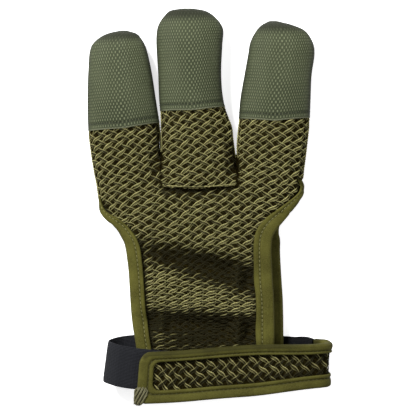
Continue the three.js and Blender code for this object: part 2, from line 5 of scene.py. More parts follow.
import bpy
import numpy as np
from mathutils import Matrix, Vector


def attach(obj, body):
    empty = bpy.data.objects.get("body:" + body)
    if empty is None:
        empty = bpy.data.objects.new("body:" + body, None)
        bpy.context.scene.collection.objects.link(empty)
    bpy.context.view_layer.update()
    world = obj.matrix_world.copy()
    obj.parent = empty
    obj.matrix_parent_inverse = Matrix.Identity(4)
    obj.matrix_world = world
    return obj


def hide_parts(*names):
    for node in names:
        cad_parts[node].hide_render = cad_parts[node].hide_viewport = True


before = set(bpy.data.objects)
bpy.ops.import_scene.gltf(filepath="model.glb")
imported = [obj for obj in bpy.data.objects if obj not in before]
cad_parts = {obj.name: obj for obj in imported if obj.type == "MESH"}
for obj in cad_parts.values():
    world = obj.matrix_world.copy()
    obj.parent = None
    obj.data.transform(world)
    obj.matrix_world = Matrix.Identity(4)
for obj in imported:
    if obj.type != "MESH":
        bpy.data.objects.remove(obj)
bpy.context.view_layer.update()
toScene = 0.001
sceneOrigin = np.array([-5.8121, -88.3282, 0.0])

# Sizes shared by the pieces
palmWidth, palmLength, palmDepth, wristDepth = 106, 106.5, 15, 12
fingerDepth, squareness, flatShare = 15.5, 2.3, 1.035
gap, tapeWall, elasticWall = 0.3, 1.0, 1.2
tapeStep = gap + tapeWall
wristLift = elasticWall + gap + tapeStep
tuck = 0.15  # the fabric draws in a little where a cap is sewn on
tuckRun = 3.4

# along, shift, width, depth
indexRows = [
    (-0.4, 0.13, 0.84, 0.9), (-0.15, 0.045, 0.93, 0.94), (0, 0.005, 0.97, 0.96),
    (0.25, -0.04, 1.005, 0.98), (0.49, -0.08, 0.95, 1), (0.72, -0.108, 0.868, 0.97),
    (0.87, -0.128, 0.765, 0.86), (0.935, -0.11, 0.6, 0.72), (0.975, -0.08, 0.4, 0.52),
    (1, -0.065, 0.12, 0.22),
]
middleRows = [
    (-0.125, 0.01, 0.99, 1.06), (0, 0, 1, 1.05), (0.17, -0.017, 0.94, 1.03),
    (0.25, -0.028, 0.925, 1.01), (0.31, -0.052, 0.88, 1), (0.42, -0.095, 0.835, 1),
    (0.58, -0.115, 0.82, 1),
    (0.77, -0.12, 0.86, 0.95), (0.86, -0.11, 0.862, 0.87), (0.91, -0.115, 0.775, 0.79),
    (0.96, -0.128, 0.6, 0.64), (0.985, -0.145, 0.45, 0.5), (1, -0.149, 0.2, 0.26),
]
ringRows = [
    (-0.3, -0.075, 0.94, 0.9), (-0.1, 0, 0.945, 0.94), (0, 0.018, 0.96, 0.96),
    (0.13, 0.03, 1.005, 0.98), (0.29, 0.06, 1.015, 1), (0.46, 0.082, 1.005, 1),
    (0.62, 0.118, 0.962, 0.98), (0.77, 0.168, 0.948, 0.94), (0.85, 0.17, 0.89, 0.87),
    (0.93, 0.158, 0.69, 0.7), (0.97, 0.11, 0.44, 0.5), (1, 0.06, 0.14, 0.22),
]
# along, width, shift, lift, fullness
palmRows = [
    (0, 0.97, 0, 1, 0), (0.24, 0.96, 0, 1, 0), (0.38, 0.95, 0, 0.5, 0.35),
    (0.52, 0.945, 0, 0, 0.8), (0.65, 0.94, 0.006, 0, 1), (0.8, 0.955, 0.01, 0, 1),
    (0.9, 0.965, 0.003, 0.1, 0.9), (0.96, 0.975, 0, 0.5, 0.1), (1, 0.96, 0, 1.1, -1.4),
]
# across, along, length, spread, turn in degrees, depth
dentRows = [
    (0.15, 0.5, 0.3, 0.055, -18, 4.6), (0.03, 0.262, 0.5, 0.048, -4, 4.4),
    (0.12, 0.2, 0.3, 0.05, 6, 3.2), (-0.16, 0.575, 0.12, 0.035, -24, 1.6),
]
# down, inward
leftEdgeRows = [
    (0.16, 0.034), (0.196, 0.043), (0.219, 0.055), (0.242, 0.076), (0.262, 0.103), (0.287, 0.128),
    (0.318, 0.147), (0.358, 0.166), (0.434, 0.179), (0.5, 0.186), (0.7, 0.2), (0.883, 0.228),
    (1.03, 0.24),
]
rightEdgeRows = [
    (0.062, 0.028), (0.085, 0.015), (0.114, 0.014), (0.137, 0.023), (0.17, 0.046), (0.25, 0.113),
    (0.275, 0.135), (0.3, 0.153), (0.325, 0.165), (0.381, 0.171), (0.5, 0.166), (0.649, 0.158),
    (1.03, 0.156),
]


def column(rows, key, at):
    table = np.array(rows, float)
    place, value = table[:, 0], table[:, key]
    at = np.asarray(at, float)
    slopes = np.empty(len(place))
    slopes[1:-1] = (value[2:] - value[:-2]) / (place[2:] - place[:-2])
    slopes[0] = (value[1] - value[0]) / (place[1] - place[0])
    slopes[-1] = (value[-1] - value[-2]) / (place[-1] - place[-2])
    i = np.clip(np.searchsorted(place, at) - 1, 0, len(place) - 2)
    span = place[i + 1] - place[i]
    t = np.clip((at - place[i]) / span, 0, 1)
    t2, t3 = t * t, t**3
    return (
        (2 * t3 - 3 * t2 + 1) * value[i]
        + (t3 - 2 * t2 + t) * span * slopes[i]
        + (3 * t2 - 2 * t3) * value[i + 1]
        + (t3 - t2) * span * slopes[i + 1]
    )


def smooth(x, a, b):
    t = np.clip((np.asarray(x, float) - a) / (b - a), 0, 1)
    return t * t * (3 - 2 * t)


def mix(a, b, share):
    return a + (b - a) * share


def bell(x, middle, width):
    return np.exp(-(((x - middle) / width) ** 2))


# The glove's form

def makeFinger(rows, length, width, x, capEdge):
    return {"rows": rows, "length": length, "width": width, "x": x, "capEdge": capEdge,
            "start": palmLength + rows[0][0] * length}


indexWidth, middleWidth, ringWidth = 36, 38.5, 35
indexX = -palmWidth / 2 + indexWidth * 0.97 / 2
ringX = palmWidth / 2 - ringWidth * 0.96 / 2 - 2 * gap
fingers = {
    "index": makeFinger(indexRows, 69, indexWidth, indexX, (0.26, 0.275, 0.32)),
    "middle": makeFinger(middleRows, 80, middleWidth, (indexX + ringX) / 2, (0.348, 0.349, 0.376)),
    "ring": makeFinger(ringRows, 73.8, ringWidth, ringX, (0.327, 0.307, 0.333)),
}


def fingerSection(finger, y):
    at = np.clip((y - palmLength) / finger["length"], finger["rows"][0][0], 1)
    rows, width = finger["rows"], finger["width"]
    return (
        finger["x"] + width * column(rows, 1, at),
        width * column(rows, 2, at) / 2,
        fingerDepth * column(rows, 3, at),
    )


def capEdgeAt(finger, across):
    left, middle, right = finger["capEdge"]
    side = np.where(across < 0, left, right)
    return palmLength + finger["length"] * mix(middle, side, np.minimum(np.abs(across), 1))


def palmSection(y):
    at = np.clip(y / palmLength, 0, 1)
    return (
        palmWidth * column(palmRows, 2, at),
        palmWidth * column(palmRows, 1, at) / 2,
        np.maximum(wristLift * column(palmRows, 3, at), 0),
        mix(wristDepth, palmDepth, column(palmRows, 4, at)),
    )


def dentAt(x, y, fade=(0.23, 0.3)):
    total = 0
    for across, along, length, spread, turn, depth in dentRows:
        angle = math.radians(turn)
        dx, dy = x - across * palmWidth, y - along * palmLength
        u = (dx * math.cos(angle) + dy * math.sin(angle)) / (length * palmWidth)
        v = (dy * math.cos(angle) - dx * math.sin(angle)) / (spread * palmLength)
        total = total + depth * np.exp(-u * u - v * v)
    return total * (1 - smooth(np.abs(x) / palmWidth, *fade))


def drawIn(y, edge):
    return tuck * smooth(y, edge - tuckRun, edge - 2 * gap)


def ovalUp(across):
    return (1 - np.clip(np.abs(across), 0, 1) ** squareness) ** (1 / squareness)


def fingerHeight(finger, x, y, side):
    cx, half, depth = fingerSection(finger, y)
    edge = capEdgeAt(finger, (x - cx) / half)
    drawn = drawIn(y, edge)
    across = (x - cx) / (half - drawn)
    high = (depth - 2 * drawn) / 2
    z = depth / 2 + side * np.minimum(ovalUp(across) * flatShare, 1) * high
    return np.where((np.abs(across) > 1.06) | (y < finger["start"]), np.nan, z)


def palmHeight(x, y, side):
    cx, half, low, depth = palmSection(y)
    across = (x - cx) / half
    up = ovalUp(across)
    z = low + depth / 2 + side * np.minimum(up * flatShare, 1) * depth / 2
    if side > 0:
        z = z - dentAt(x, y) * up
    return np.where((np.abs(across) > 1) | (y > palmLength), np.nan, np.maximum(z, 0))


# Where the middle finger's front meets the panels beside it
def borderX(sign, y):
    middle, other = fingers["middle"], fingers["index" if sign < 0 else "ring"]
    y = np.maximum(y, palmLength)
    (cx, half, _), (ox, oHalf, _) = fingerSection(middle, y), fingerSection(other, y)
    return (cx + sign * half + ox - sign * oHalf) / 2


def webHeight(x, y, side):
    # The fabric fills the valleys between the fingers a little way up.
    z = np.full(np.broadcast(x, y).shape, np.nan)
    for sign, low, high in ((-1, 108, 118), (1, 102, 114)):
        away = np.abs(x - borderX(sign, y))
        rise = mix(-2.5, 5.4, 1 - smooth(y, low, high)) - 0.15 * away**2
        z = np.where((away < 5) & (y < high), fingerDepth / 2 + side * rise, z)
    return z


def heightAt(x, y, side, only=None):
    shapes = [fingerHeight(fingers[n], x, y, side) for n in fingers if only in (None, n)]
    shapes += [palmHeight(x, y, side), webHeight(x, y, side)]
    shapes = np.array([np.where(np.isnan(s), -side * 99.0, s) for s in shapes])
    return shapes.max(0) if side > 0 else shapes.min(0)


def silhouetteAt(y, only=None):
    lefts, rights = [], []
    if y <= palmLength:
        cx, half = palmSection(y)[:2]
        lefts.append(cx - half)
        rights.append(cx + half)
    for name, finger in fingers.items():
        if only in (None, name) and y >= finger["start"]:
            cx, half, _ = fingerSection(finger, y)
            drawn = float(drawIn(y, capEdgeAt(finger, 0)))
            lefts.append(cx - half + drawn)
            rights.append(cx + half - drawn)
    return float(min(lefts)), float(max(rights))


outlineYs = np.arange(-1, 150, 0.25)
outlineXs = np.array([silhouetteAt(y) for y in outlineYs])


def unit(vectors):
    return vectors / (np.linalg.norm(vectors, axis=-1, keepdims=True) + 1e-9)


def surfaceAt(x, y, side):
    x, y = np.broadcast_arrays(np.asarray(x, float), np.asarray(y, float))
    reach = [np.interp(y, outlineYs, outlineXs[:, i]) for i in (0, 1)]
    x = np.clip(x, reach[0] + 0.15, reach[1] - 0.15)
    step = 0.12
    z = heightAt(x, y, side)
    zx = (heightAt(x + step, y, side) - heightAt(x - step, y, side)) / (2 * step)
    zy = (heightAt(x, y + 0.5, side) - heightAt(x, y - 0.5, side)) / 1.0
    zx, zy = np.clip(zx, -4, 4), np.clip(zy, -1.5, 1.5)
    normal = side * np.stack([-zx, -zy, np.ones_like(zx)], -1)
    return np.stack([x, y, z], -1), unit(normal)


# The middle finger's front is sewn to the palm between these two places.
seamLeft, seamRight = float(borderX(-1, 0)), float(borderX(1, 0))


def seamY(x, grow):
    t = np.clip((x - seamLeft) / (seamRight - seamLeft), 0, 1)
    return palmLength - 10.7 - grow - gap + 1.5 * (2 * t - 1) ** 2 + 0.7 * (t - 0.5)


def besideSeam(x):
    return smooth(x, seamLeft - 3, seamLeft + 2) * (1 - smooth(x, seamRight - 2, seamRight + 3))


def seamStep(x, y, region):
    # The middle finger's fabric folds under at its seam and stands over the palm there.
    d = y - seamY(x, 0)
    if region == "middle":
        return 0.8 * bell(d, 2, 2.6) - 1.5 * (1 - smooth(d, 0, 1.5))
    return -1.5 * bell(d, 0, 3) * besideSeam(x)


def paintedShadeAt(x, y):
    # Painted shade from 0 to 1: dark down in the folds, under the middle finger's seam and in the
    # webs between the fingers.
    seam = (0.8 - 0.4 * smooth(x, -6, 8)) * bell(y - seamY(x, 0), -1.3, 2.3) * besideSeam(x)
    web = 0.0
    for sign, strength, top in ((-1, 0.45, 142), (1, 0.7, 124)):
        away = borderX(sign, y) - x
        near = bell(away, 1, 3.2) * smooth(away, -1.2, 0)
        web = web + strength * near * smooth(y, 99, 106) * (1 - smooth(y, top - 12, top))
    return np.clip(dentAt(x, y, (0.27, 0.34)) / 2.9 + seam + web, 0, 1)


def sideEdge(rows, side, back, count=90):
    down = np.linspace(rows[0][0], rows[-1][0], count)
    inward = column(rows, 1, down) * palmWidth
    shift = 5 * smooth(down, 0.24, 0.36) if back else 0
    return np.stack([side * (palmWidth / 2 - inward) + shift, palmLength * (1 - down)], -1)


def cutAt(y, side, back):
    rows = leftEdgeRows if side < 0 else rightEdgeRows
    edge = sideEdge(rows, side, back)[::-1]
    x = np.interp(y, edge[:, 1], edge[:, 0])
    return np.where(y > edge[-1, 1], side * 99.0, x)


# Charts spread the glove's surface flat: u runs round the glove from its middle, v is y.
chartStep, chartRow = 0.5, 0.6
branchFrom = 97.0


def makeChart(name, side):
    finger = fingers[name]
    topY = float(capEdgeAt(finger, np.array([-1.0, 0, 1])).max()) + 3
    ys = np.arange(0, topY + chartRow, chartRow)
    grid = np.arange(-75, 75.01, chartStep)
    t = (1 - np.cos(np.linspace(0, math.pi, 220))) / 2
    home = None
    table, reach, borders = [], [], []
    for y in [branchFrom, *ys]:
        only = name if y >= palmLength else None
        left, right = silhouetteAt(y, only)
        xs = mix(left + 0.02, right - 0.02, t)
        zs = heightAt(xs, y, side, only)
        arc = np.concatenate([[0], np.cumsum(np.hypot(np.diff(xs), np.diff(zs)))])
        middle = np.interp(fingerSection(finger, y)[0], xs, arc)
        zero = np.interp(0, xs, arc)
        if home is None:
            home = middle - zero
            continue
        share = float(smooth(y, branchFrom, 106.4)) if only is None else 1
        u = arc - mix(zero, middle - home, share)
        table.append([np.interp(grid, u, xs), np.interp(grid, u, zs)])
        reach.append([u[0], u[-1]])
        borders.append([np.interp(b, xs, u) for b in (borderX(-1, y), borderX(1, y))])
    table = np.array(table)
    x, z = table[:, 0], table[:, 1]
    xv, xu = np.gradient(x, chartRow, chartStep)
    zv, zu = np.gradient(z, chartRow, chartStep)
    normal = unit(side * np.stack([-zu, zu * xv - xu * zv, xu], -1))
    return {
        "ys": ys, "grid": grid, "x": x, "table": np.dstack([x, z, normal]), "side": side,
        "reach": np.array(reach), "borders": np.array(borders),
    }


def place(chart, u, v):
    # Places on the glove's surface and their normals
    table = chart["table"]
    fv = np.clip(v / chartRow, 0, len(chart["ys"]) - 1.001)
    fu = np.clip((u - chart["grid"][0]) / chartStep, 0, len(chart["grid"]) - 1.001)
    i, j = fv.astype(int), fu.astype(int)
    a, b = (fv - i)[..., None], (fu - j)[..., None]
    found = (table[i, j] * (1 - b) + table[i, j + 1] * b) * (1 - a)
    found = found + table[i + 1, j] * a * (1 - b) + table[i + 1, j + 1] * a * b
    return np.stack([found[..., 0], v, found[..., 1]], -1), unit(found[..., 2:])


def reachAt(chart, v):
    return [np.interp(v, chart["ys"], chart["reach"][:, i]) for i in (0, 1)]


charts = {(n, s): makeChart(n, s) for n in fingers for s in (1, -1)}
print("charts ready")


# Materials

def nodeGroup(name, outputs, **inputs):
    group = bpy.data.node_groups.new(name, "ShaderNodeTree")
    for key, value in inputs.items():
        made = group.interface.new_socket(key, in_out="INPUT", socket_type="NodeSocketFloat")
        made.default_value = value
    for key in outputs:
        group.interface.new_socket(key, in_out="OUTPUT", socket_type="NodeSocketFloat")
    return group, group.nodes.new("NodeGroupInput"), group.nodes.new("NodeGroupOutput")


def makeClothPlace():
    # Cloth coordinates in millimetres, kept on each piece's points.
    group, _, out = nodeGroup("clothPlace", ("Across", "Along", "Mark"))
    mark = group.nodes.new("ShaderNodeAttribute")
    mark.attribute_name = "cloth"
    split = group.nodes.new("ShaderNodeSeparateXYZ")
    group.links.new(mark.outputs["Vector"], split.inputs[0])
    for i in range(3):
        group.links.new(split.outputs[i], out.inputs[i])
    return group


def makeSpeckle():
    # Uneven dye and fibre, from a scale per metre.
    group, start, out = nodeGroup("speckle", ("Amount",), Scale=900.0, Detail=3.0)
    where = group.nodes.new("ShaderNodeTexCoord")
    noise = group.nodes.new("ShaderNodeTexNoise")
    group.links.new(where.outputs["Object"], noise.inputs["Vector"])
    for key in ("Scale", "Detail"):
        group.links.new(start.outputs[key], noise.inputs[key])
    group.links.new(noise.outputs["Fac"], out.inputs["Amount"])
    return group


clothPlace = makeClothPlace()
speckle = makeSpeckle()


class Look:
    # One material and the steps that put its colour together
    def __init__(self, name, roughness, specular=0.25):
        self.material = bpy.data.materials.new(name)
        self.material.use_nodes = True
        self.tree = self.material.node_tree
        self.shader = self.tree.nodes["Principled BSDF"]
        self.fill(self.shader, {"Roughness": roughness, "Specular IOR Level": specular})

    def fill(self, node, values):
        for key, value in values.items():
            if isinstance(value, bpy.types.NodeSocket):
                self.tree.links.new(value, node.inputs[key])
            else:
                node.inputs[key].default_value = (*value, 1) if isinstance(value, tuple) else value

    def calc(self, operation, a, b=0.0):
        node = self.tree.nodes.new("ShaderNodeMath")
        node.operation = operation
        self.fill(node, {0: a, 1: b})
        return node.outputs[0]

    def times(self, a, b):
        return self.calc("MULTIPLY", a, b)

    def plus(self, a, b):
        return self.calc("ADD", a, b)

    def spread(self, value, low, high, toHigh=1.0):
        node = self.tree.nodes.new("ShaderNodeMapRange")
        node.interpolation_type = "SMOOTHSTEP"
        self.fill(node, {"Value": value, "From Min": low, "From Max": high, "To Max": toHigh})
        return node.outputs["Result"]

    def blend(self, share, a, b):
        node = self.tree.nodes.new("ShaderNodeMix")
        node.data_type = "RGBA"
        self.fill(node, {0: share, 6: a, 7: b})
        return node.outputs[2]

    def group(self, tree, **values):
        node = self.tree.nodes.new("ShaderNodeGroup")
        node.node_tree = tree
        self.fill(node, values)
        return node.outputs

    def fibre(self, scale, detail=2.0):
        return self.group(speckle, Scale=scale, Detail=detail)["Amount"]

    def finish(self, colour, height, distance, strength=1.0):
        bump = self.tree.nodes.new("ShaderNodeBump")
        self.fill(bump, {"Strength": strength, "Distance": distance, "Height": height})
        self.fill(self.shader, {"Base Color": colour, "Normal": bump.outputs["Normal"]})
        return self.material


def makeCordMaterial():
    look = Look("oliveCord", 0.6, 0.1)
    across, along, paintedShadeAndTint = look.group(clothPlace)
    twist = look.calc("SINE", look.plus(look.times(across, 7.0), look.times(along, 2 * math.pi)))
    grain = look.plus(look.times(twist, 0.12), look.fibre(3200.0))
    dye = look.spread(look.fibre(260.0), 0.3, 0.7)
    base = look.blend(dye, (0.155, 0.139, 0.037), (0.27, 0.248, 0.081))
    colour = look.blend(look.spread(grain, 0.25, 0.8), base, (0.66, 0.62, 0.275))
    # Painted shade: the mark darkens the cords nearly to black; a small part of it is random tint.
    colour = look.blend(look.times(paintedShadeAndTint, 0.975), colour, (0.009, 0.0075, 0.0018))
    return look.finish(colour, grain, 0.00018, 0.8)


def makeCapMaterial():
    look = Look("capCanvas", 0.7, 0.2)
    across, along, mark = look.group(clothPlace)
    weft, warp = (look.calc("COSINE", look.times(way, 2 * math.pi / pitch))
                  for way, pitch in ((across, 2.2), (along, 3.0)))
    grain = look.spread(look.times(weft, warp), -0.05, 0.7)
    dye = look.spread(look.fibre(45.0), 0.35, 0.65)
    base = look.blend(dye, (0.0265, 0.033, 0.014), (0.0385, 0.0465, 0.0215))
    colour = look.blend(look.times(grain, 0.9), base, (0.13, 0.145, 0.079))
    # The mark is above 0 at the light cut edge and below 0 where the cap is darker: painted shade
    # down its sides and over its tip, and its stitched line.
    colour = look.blend(mark, colour, (0.2, 0.212, 0.13))
    colour = look.blend(look.times(mark, -1.0), colour, (0.011, 0.013, 0.005))
    return look.finish(colour, look.plus(grain, look.times(look.fibre(2600.0), 0.35)), 0.0003)


def makeTapeMaterial():
    look = Look("bindingTape", 0.82, 0.12)
    dye = look.spread(look.fibre(120.0, 3.0), 0.3, 0.7)
    fibre = look.fibre(2400.0, 3.0)
    base = look.blend(dye, (0.038, 0.035, 0.0045), (0.07, 0.066, 0.011))
    colour = look.blend(look.spread(fibre, 0.3, 0.75, 0.55), base, (0.118, 0.111, 0.026))
    # The mark is painted shade: in the stitched groove, and on the strap's binding along its upper
    # side and past its fold.
    groove = look.group(clothPlace)["Mark"]
    return look.finish(look.blend(groove, colour, (0.012, 0.011, 0.002)), fibre, 0.0003)


def makeElasticMaterial():
    look = Look("navyElastic", 0.8, 0.15)
    across, _, joinShade = look.group(clothPlace)
    rib = look.calc("SINE", look.times(across, 2 * math.pi / 0.7))
    grain = look.plus(look.times(rib, 0.3), look.fibre(2400.0))
    base = look.spread(grain, 0.2, 0.9)
    colour = look.blend(base, (0.0045, 0.0048, 0.0062), (0.0175, 0.0185, 0.0225))
    return look.finish(look.blend(joinShade, colour, (0.0012, 0.0012, 0.0012)), grain, 0.0002)


def makePlainMaterial(name, shine, scale, dark, light, depth, detail=2.0, span=None):
    # Shine is the roughness and the specular level.
    look = Look(name, *shine)
    fibre = look.fibre(scale, detail)
    share = look.spread(fibre, *span) if span else fibre
    return look.finish(look.blend(share, dark, light), fibre, depth)


def makeThreadMaterial(name, dark, light):
    return makePlainMaterial(name, (0.6, 0.25), 3000.0, dark, light, 0.0001)


oliveCord = makeCordMaterial()
meshGround = makePlainMaterial("meshGround", (1.0, 0.0), 1500.0, (0.004, 0.003, 0.001),
                               (0.02, 0.0155, 0.004), 0.0004, span=(0.35, 0.7))
capCanvas = makeCapMaterial()
bindingTape = makeTapeMaterial()
navyElastic = makeElasticMaterial()
blackLoop = makePlainMaterial("blackLoop", (0.9, 0.1), 1800.0, (0.0025, 0.0025, 0.003),
                              (0.01, 0.01, 0.011), 0.0006, 4.0, (0.3, 0.75))
oliveThread = makeThreadMaterial("oliveThread", (0.07, 0.066, 0.015), (0.26, 0.25, 0.1))
darkThread = makeThreadMaterial("darkThread", (0.012, 0.011, 0.002), (0.09, 0.086, 0.025))
capThread = makeThreadMaterial("capThread", (0.008, 0.011, 0.005), (0.04, 0.048, 0.024))
greyThread = makeThreadMaterial("greyThread", (0.02, 0.018, 0.009), (0.17, 0.16, 0.075))


# Mesh building

class Cloth:
    def __init__(self):
        # Marks are cloth coordinates, looks the number of each face's material.
        self.points, self.quads, self.marks, self.looks, self.count = [], [], [], [], 0

    def grid(self, points, marks, look=0, wrap=False, flip=False):
        rows, cols = points.shape[:2]
        index = np.arange(rows * cols).reshape(rows, cols) + self.count
        if wrap:
            index = np.hstack([index, index[:, :1]])
        quads = np.stack([index[:-1, :-1], index[:-1, 1:], index[1:, 1:], index[1:, :-1]], -1)
        quads = quads.reshape(-1, 4)
        self.quads.append(quads[:, ::-1] if flip else quads)
        self.looks.append(np.full(len(quads), look))
        self.points.append(points.reshape(-1, 3))
        self.marks.append(marks.reshape(-1, 3))
        self.count += rows * cols

    def slab(self, outer, inner, marks, looks=(0, 0)):
        # A closed thin sheet: two faces joined along their rims.
        flat = lambda a: np.concatenate([a[0], a[1:, -1], a[-1, -2::-1], a[-2:0:-1, 0]])
        self.grid(outer, marks, looks[0])
        self.grid(inner, marks, looks[1], flip=True)
        rim = np.stack([flat(outer), flat(inner)])
        self.grid(rim, np.stack([flat(marks)] * 2), looks[0], wrap=True, flip=True)

    def make(self, name, materials):
        points = (np.concatenate(self.points) + sceneOrigin) * toScene
        quads = np.concatenate(self.quads)
        mesh = bpy.data.meshes.new(name)
        mesh.vertices.add(len(points))
        mesh.vertices.foreach_set("co", points.astype(np.float32).ravel())
        mesh.loops.add(quads.size)
        mesh.loops.foreach_set("vertex_index", quads.astype(np.int32).ravel())
        mesh.polygons.add(len(quads))
        for key, values in (
            ("loop_start", np.arange(0, quads.size, 4)), ("loop_total", np.full(len(quads), 4)),
            ("material_index", np.concatenate(self.looks)),
        ):
            mesh.polygons.foreach_set(key, values.astype(np.int32))
        mesh.polygons.foreach_set("use_smooth", np.ones(len(quads), bool))
        mark = mesh.attributes.new("cloth", "FLOAT_VECTOR", "POINT")
        mark.data.foreach_set("vector", np.concatenate(self.marks).astype(np.float32).ravel())
        mesh.update(calc_edges=True)
        mesh.validate()
        for material in materials:
            mesh.materials.append(material)
        piece = bpy.data.objects.new(name, mesh)
        bpy.context.scene.collection.objects.link(piece)
        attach(piece, "root")
        return piece


def sewTo(piece, holder):
    piece.parent = holder
    piece.matrix_parent_inverse = holder.matrix_world.inverted()


def lengthsOf(points):
    return np.concatenate([[0], np.cumsum(np.linalg.norm(np.diff(points, axis=0), axis=1))])


def readLine(at, lengths, values):
    return np.stack([np.interp(at, lengths, values[:, i]) for i in range(3)], -1)


def tube(cloth, path, normals, radii, sides, shade=0.0):
    # A strand along a path. Its ends draw in to a point.
    along = unit(np.gradient(path, axis=0))
    across = unit(np.cross(normals, along))
    up = np.cross(along, across)
    angles = np.arange(sides) * 2 * math.pi / sides
    radii = np.broadcast_to(radii, len(path)).copy()
    radii[[0, -1]] *= 0.3
    ring = np.cos(angles)[:, None] * across[:, None] + np.sin(angles)[:, None] * up[:, None]
    points = path[:, None] + radii[:, None, None] * ring
    marks = np.zeros(points.shape)
    marks[..., 0] = lengthsOf(path)[:, None]
    marks[..., 1] = (angles / (2 * math.pi))[None]
    marks[..., 2] = np.broadcast_to(shade, len(path))[:, None]
    cloth.grid(points, marks, wrap=True, flip=True)


stitchLook = {"pitch": 2.1, "spots": (0.16, 0.3, 0.5, 0.7, 0.84), "lowest": 0.25}


def addStitches(threads, line, normals, look, first=0.0):
    # Short stitches that stand off along a line's normals. A line without normals closes on
    # itself, and its stitches stand away from its middle.
    lengths, middle = lengthsOf(line), line[:-1].mean(0)
    count = int((lengths[-1] - first) / look["pitch"])
    pitch = lengths[-1] / count if normals is None else look["pitch"]
    for k in range(count):
        at = first + (k + np.array(look["spots"])) * pitch
        path = readLine(at, lengths, line)
        if normals is None:
            lift = unit((path - middle) * np.array([1, 0, 1]))
        else:
            lift = readLine(at, lengths, normals)
        path = path + lift * np.array(look["rises"])[:, None]
        path[:, 2] = np.maximum(path[:, 2], look["lowest"])
        tube(threads, path, lift, look["radius"], 5)


def runsOf(mask, places):
    # Stretches that are inside and don't jump from one finger to the next.
    runs, start = [], None
    jump = np.linalg.norm(np.diff(places, axis=0), axis=1) > 2.2
    for i in range(len(mask) + 1):
        if start is not None and (i == len(mask) or not mask[i] or jump[i - 1]):
            if i - start >= 3:
                runs.append((start, i))
            start = None
        if start is None and i < len(mask) and mask[i]:
            start = i
    return runs


# Mesh fabric: two sets of corded strands, each over and under the other.
weave = {
    "across": 6.15, "along": 4.1, "apart": 0.54, "rise": 0.4, "twist": 0.12,
    # each ply's place, radius, painted shade and how low it lies
    "plies": ((-1.1, 0.2, 0.4, 0.05), (0, 0.17, 0.7, 0.36), (1.1, 0.22, 0.0, 0)),
    # under and sink are painted shade: on the strands sloping the other way, and where a strand
    # dips under the other set
    "steps": 8, "sides": 4, "tilt": 0.15, "under": 0.33, "sink": 0.24,
}
chance = np.random.default_rng(11)


def latticeLines(low, high, shape):
    # Yields one strand at a time as u, v and whether it is over (1) or under (-1) there.
    across, along = shape["across"], shape["along"]
    u = np.arange(low[0], high[0], across / shape["steps"])
    wave = 2 * math.pi * u / across
    for sign in (1, -1):
        lean = sign * along * u / across
        first = int((low[1] - lean.max()) / along) - 1
        last = int((high[1] - lean.min()) / along) + 1
        for c in range(first, last + 1):
            yield sign, u, c * along + lean, sign * np.cos(wave)


def wander(u, v, tilt, across):
    # Rows are closer together on the palm than on the fingers and slant at the glove's left.
    # Strands are flatter where they are on top.
    flat = mix(0.34, 0.22, smooth(v, 82, 104)) * np.sin(2 * math.pi * u / across)
    slant = 0.0
    if tilt:
        away = v - 60
        v = 60 + 0.89 * away + 0.15 * (np.sqrt(away**2 + 64) - 8)
        slant = -tilt * 7 * np.log1p(np.exp(-(u - 9) / 7)) * smooth(v, 12, 48)
    du = 0.3 * np.sin(0.21 * u + 0.13 * v) + 0.15 * np.sin(0.43 * v + 1)
    dv = 0.3 * np.sin(0.17 * u - 0.29 * v) + 0.14 * np.sin(0.39 * u + 2)
    return u + du, v + dv + slant - flat


def addStrands(cloth, points, shape, low, high, tilt=0.0):
    # Each point(u, v) gives places, normals, which of them are inside, and how much painted shade
    # it gets there.
    for sign, u, v, over in latticeLines(low, high, shape):
        waver, tint, phase = chance.uniform(-1, 1, 3)
        v = v + 0.16 * waver + 0.16 * np.sin(u * 0.47 + 3 * phase)
        uu, vv = wander(u, v, tilt, shape["across"])
        for point in points:
            places, normals, inside, paintedShade = point(uu, vv)
            for a, b in runsOf(inside, places):
                path, up, level = places[a:b], normals[a:b], over[a:b]
                beside = unit(np.cross(up, np.gradient(path, axis=0)))
                apart = shape["apart"] * (0.88 + 0.22 * level)
                under = shape["under"] if sign < 0 else 0
                for ply, radius, dark, lower in shape["plies"]:
                    turn = 2 * math.pi * (u[a:b] / shape["across"] + ply / 4 + phase)
                    depth = 0.28 + lower + shape["twist"] * (1 - np.sin(turn))
                    depth = depth + shape["rise"] * (1 - level)
                    aside = ply * apart + 0.1 * np.cos(turn)
                    depth = depth * mix(0.5, 1, smooth(np.abs(up[:, 2]), 0.1, 0.5))
                    line = path - up * depth[:, None] + beside * aside[:, None]
                    # Painted shade on the lower plies, on the strands sloping the other way and
                    # where a strand dips under; tint is random.
                    plyShadeAndTint = dark + under + shape["sink"] * (1 - level) + 0.08 * tint
                    shade = np.clip(paintedShade[a:b] + plyShadeAndTint, 0, 1)
                    tube(cloth, line, up, radius, shape["sides"], shade=shade)


def insideOpenings(x, y, back):
    slope = 1.15 if back else 1.0
    left = cutAt(y, -1, back) + tapeCover(y, -1) / slope
    right = cutAt(y, 1, back) - tapeCover(y, 1) / slope
    return (x > left) & (x < right)


def tapeCover(y, side):
    # Where the fabric's strands start beside the binding, in from the cut edge.
    down = palmLength - y
    if side < 0:
        return mix(0.3, 5.2, smooth(down, 17, 46))
    return mix(0.3, 6.2, smooth(down, 8, 44))


